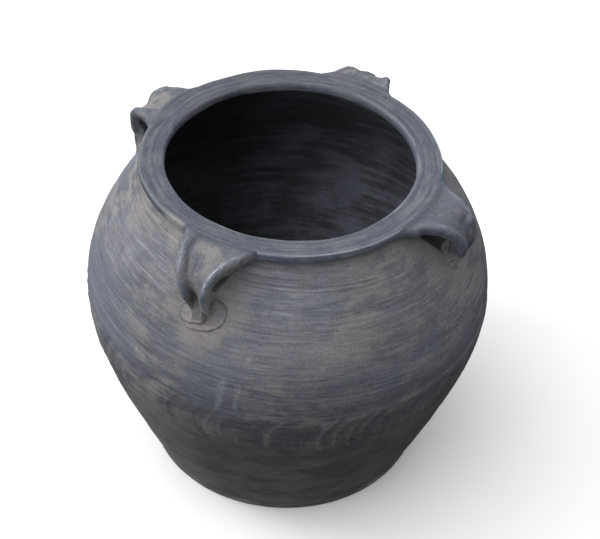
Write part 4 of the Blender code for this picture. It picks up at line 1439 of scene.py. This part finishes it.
def clay_strap(name, shift, smoke):
    clay = Clay(name)
    along, across, ridge = (clay.attribute(key) for key in ("along", "across", "ridge"))
    clouds = clay.blots(40.0, detail=4, rough=0.6, shift=(shift, 0, 0))
    drag = clay.noise(clay.vector(along * 45, across * 560, shift), detail=3, rough=0.6)
    patch = clay.blots(95.0, detail=3, rough=0.6, shift=(0, shift, 0))
    amount = clouds * 0.50 + drag * 0.18 + patch * 0.32 + smoke
    slate = amount.ease(0.43, 0.56, to=(0.05, 1.0))
    color = clay.mix(slate, (0.170, 0.166, 0.161), (0.078, 0.088, 0.108))
    color = color.toward((0.100, 0.118, 0.148), ridge * 0.60)
    color = color.toward(TAN, clay.attribute("chan") * along.ease(0.045, 0.075) * 0.45)
    # painted highlight: a broken pale line along each cord's crest
    crest_highlight = clay.noise(clay.vector(along * 150, across * 60, shift), detail=3, rough=0.6)
    crest_highlight = clay.attribute("crest") * crest_highlight.ease(0.36, 0.56, to=(0.15, 0.85))
    color = color.toward((0.300, 0.318, 0.345), crest_highlight)
    # its root is one surface with the rim, and its foot is smeared into the wall
    root = ((clay.radius + clouds * 0.008).ease(0.163, 0.153)
            * clay.z.ease(RIM_TOP - 0.010, RIM_TOP - 0.004))
    color = color.toward(rim_tint(clay)[0], root)
    foot = (clay.z + patch * 0.006).ease(0.319, 0.310)
    color = color.toward(wall_tint(clay)[0], foot)
    # lighter on sharp edges, partly worn, partly painted highlight; darker in concave creases as
    # painted shade
    pointed = clay.pointiness()
    free = 1.0 - root
    color = color.toward((0.205, 0.215, 0.236), free * pointed.ease(0.515, 0.56, to=(0, 0.40)))
    color = color.toward((0.055, 0.053, 0.050), free * pointed.ease(0.487, 0.445, to=(0, 0.60)))
    # painted shade in the fingertip's pit
    color = color.toward((0.050, 0.043, 0.034), clay.attribute("pit") * 0.88)
    color = color.toward((0.050, 0.055, 0.072), clay.attribute("mark") * 0.90)
    tone, grain = grit(clay)
    color = color.scaled(tone + clay.attribute("fine") * 0.05)
    rough = slate.ease(0, 1, to=(0.76, 0.56)) + ridge * -0.20 + (tone + -1.0) * 0.15
    return clay.finish(color, rough, drag * 0.30 + patch * 0.40 + grain, depth=0.00045)


def clay_base(name):
    clay = Clay(name)
    clouds = clay.blots(22.0, detail=4, rough=0.6)
    scuff = clay.rings(clay.z, around=18, up=300, detail=3, rough=0.6)
    wire = clay.noise(clay.vector(clay.x * 20, clay.y * 260, 0))
    color = clay.mix(clouds.ease(0.38, 0.62), (0.125, 0.121, 0.114), (0.066, 0.069, 0.076))
    color = color.toward((0.165, 0.161, 0.153), scuff.ease(0.52, 0.68, to=(0, 0.5)))
    worn = clay.z.ease(0.0020, 0.0002) * clay.radius.ease(0.128, 0.140)
    color = color.toward((0.19, 0.185, 0.175), worn * 0.7)
    # the jar's floor inside is near black: painted shade of the deep jar
    inside = clay.z.ease(0.0080, 0.0088) * clay.radius.ease(0.147, 0.143)
    floor = clay.mix(clouds.ease(0.4, 0.6), (0.034, 0.036, 0.040), (0.080, 0.086, 0.098))
    color = color.toward(floor, inside)
    tone, grain = grit(clay)
    color = color.scaled(tone + wire.linear(0.3, 0.7, to=(-0.05, 0.05)))
    rough = 0.78 + (tone + -1.0) * 0.3
    return clay.finish(color, rough, scuff * 0.5 + grain + wire * 0.3, depth=0.0005)


def clay_pad(name, shift):
    clay = Clay(name)
    color, _, streak, hair = wall_tint(clay)
    clouds = clay.blots(60.0, detail=4, rough=0.6, shift=(shift, 2, 0))
    color = color.toward(WASH, clouds.ease(0.50, 0.66, to=(0, 0.55)))
    # paler on sharp edges, partly worn, partly painted highlight; darker in concave creases as
    # painted shade
    pointed = clay.pointiness()
    color = color.toward(PALE, pointed.ease(0.510, 0.545, to=(0, 0.45)))
    color = color.toward(DEEP, pointed.ease(0.490, 0.455, to=(0, 0.70)))
    color = color.toward((0.060, 0.062, 0.072), clay.attribute("mark") * 0.78)
    tone, grain = grit(clay)
    return clay.finish(color.scaled(tone), clouds.ease(0.4, 0.6, to=(0.78, 0.66)),
                       streak * 0.55 + hair * 0.30 + grain, depth=0.00045)


# ---------------------------------------------------------------- build every piece
def dress(obj, material, node):
    obj.data.materials.append(material)
    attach(obj, "root")
    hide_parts(node)


dress(build_base(), clay_base("base_clay_look"), "base_disc")
lower, upper = build_lower_wall(), build_upper_wall()
dress(lower, clay_wall("lower_wall_clay_look"), "lower_wall")
dress(upper, clay_wall("upper_wall_clay_look"), "upper_wall")
dress(build_rim(), clay_rim("rim_clay_look"), "rim_ring")
body_lookup = body_distance()
for side, strap in STRAPS.items():
    handle, pad = build_strap_and_pad(strap, body_lookup)
    dress(handle, clay_strap("strap_clay_look_" + side, 3.7 * strap.seed, strap.smoke),
          "handle_" + side)
    dress(pad, clay_pad("luting_clay_look_" + side, 2.3 * strap.seed),
          "luting_pad_" + side)


# ------------------------------------------------------------- floor, light, camera
RIGHT = Vector((TURN[0], TURN[1], 0))
NEAR = Vector((TURN[1], -TURN[0], 0))          # from the jar towards the camera
UP = Vector((0, 0, 1))
AIM = Vector((0, 0, 0.2))
SKY_STRENGTH = 1.35


def camera_ray(graph):
    return graph.add("ShaderNodeLightPath", output="Is Camera Ray")


def plain_floor():
    """A wide sheet, pale to the camera and dark in the light it throws back."""
    n, size = 40, 40.0
    line = np.linspace(-size / 2, size / 2, n)
    verts = [(x, y, -0.0004) for x in line for y in line]
    faces = [(i * n + j, (i + 1) * n + j, (i + 1) * n + j + 1, i * n + j + 1)
             for i in range(n - 1) for j in range(n - 1)]
    mesh = bpy.data.meshes.new("floor")
    mesh.from_pydata(verts, [], faces)
    mesh.update()
    obj = bpy.data.objects.new("floor", mesh)
    bpy.context.scene.collection.objects.link(obj)
    paper = Graph(bpy.data.materials.new("floor_paper"))
    place = paper.add("ShaderNodeTexCoord", output="Object")
    cloud = paper.noise(place, scale=3.0, detail=3).linear(0.3, 0.7, to=(0.985, 1.015))
    seen = paper.scale((0.78, 0.78, 0.78), cloud)
    color = paper.mix(camera_ray(paper), (0.030, 0.028, 0.024), seen)
    mesh.materials.append(paper.end("ShaderNodeOutputMaterial", paper.principled(
        Base_Color=color, Roughness=0.95, Specular_IOR_Level=0.0)))


def soft_sky():
    """Brighter overhead and to the camera's left, darker to its right."""
    world = bpy.data.worlds.new("soft_sky")
    bpy.context.scene.world = world
    sky = Graph(world)
    direction = sky.add("ShaderNodeTexCoord", output="Generated")

    def lean(vector):
        return sky.add("ShaderNodeVectorMath", {0: direction, 1: tuple(vector)},
                       output="Value", operation="DOT_PRODUCT")
    left = lean(-RIGHT * 0.88 + NEAR * 0.05 + UP * 0.47)
    right = lean(RIGHT * 0.90 + NEAR * 0.43)
    up = lean(UP)
    level = (up.ease(0.0, 0.60, to=(0.10, 1.0)) + left.ease(0.3, 1.0)
             + right.ease(0.3, 1.0, to=(0.0, -0.30)))
    level = sky.math("MAXIMUM", level * up.ease(-0.08, 0.02, to=(0.12, 1.0)), 0.0)
    color = sky.scale((1.002, 0.985, 1.010), level)
    # what the camera itself sees beyond the floor is plain white
    color = color.toward((1.0 / SKY_STRENGTH,) * 3, camera_ray(sky))
    light = sky.add("ShaderNodeBackground", {"Color": color, "Strength": SKY_STRENGTH})
    sky.end("ShaderNodeOutputWorld", light)


def key_light():
    data = bpy.data.lights.new("key", "AREA")
    data.shape = "DISK"
    data.size = 1.1
    data.energy = 28
    data.color = (1.0, 0.99, 0.97)
    obj = bpy.data.objects.new("key", data)
    obj.location = AIM - RIGHT * 1.9 - NEAR * 0.1 + UP * 1.6
    obj.rotation_euler = (AIM - obj.location).to_track_quat("-Z", "Y").to_euler()
    bpy.context.scene.collection.objects.link(obj)


def view():
    scene = bpy.context.scene
    scene.view_settings.view_transform = "Standard"
    scene.view_settings.look = "None"
    scene.view_settings.exposure = 0.0
    scene.view_settings.gamma = 1.0
    data = bpy.data.cameras.new("camera")
    data.lens = 90.0
    data.sensor_width = 36.0
    data.clip_start, data.clip_end = 0.05, 50.0
    camera = bpy.data.objects.new("camera", data)
    scene.collection.objects.link(camera)
    scene.camera = camera
    pitch, roll, far = math.radians(41.85), math.radians(2.05), 1.5885
    forward = -NEAR * math.cos(pitch) - UP * math.sin(pitch)
    top = -NEAR * math.sin(pitch) + UP * math.cos(pitch)
    eye = RIGHT * 0.0124 + NEAR * (far * math.cos(pitch)) + UP * (0.2128 + far * math.sin(pitch))
    columns = (RIGHT * math.cos(roll) + top * math.sin(roll),
               top * math.cos(roll) - RIGHT * math.sin(roll), -forward, eye)
    camera.matrix_world = Matrix((*zip(*columns), (0, 0, 0, 1)))


plain_floor()
soft_sky()
key_light()
view()

bpy.context.view_layer.update()
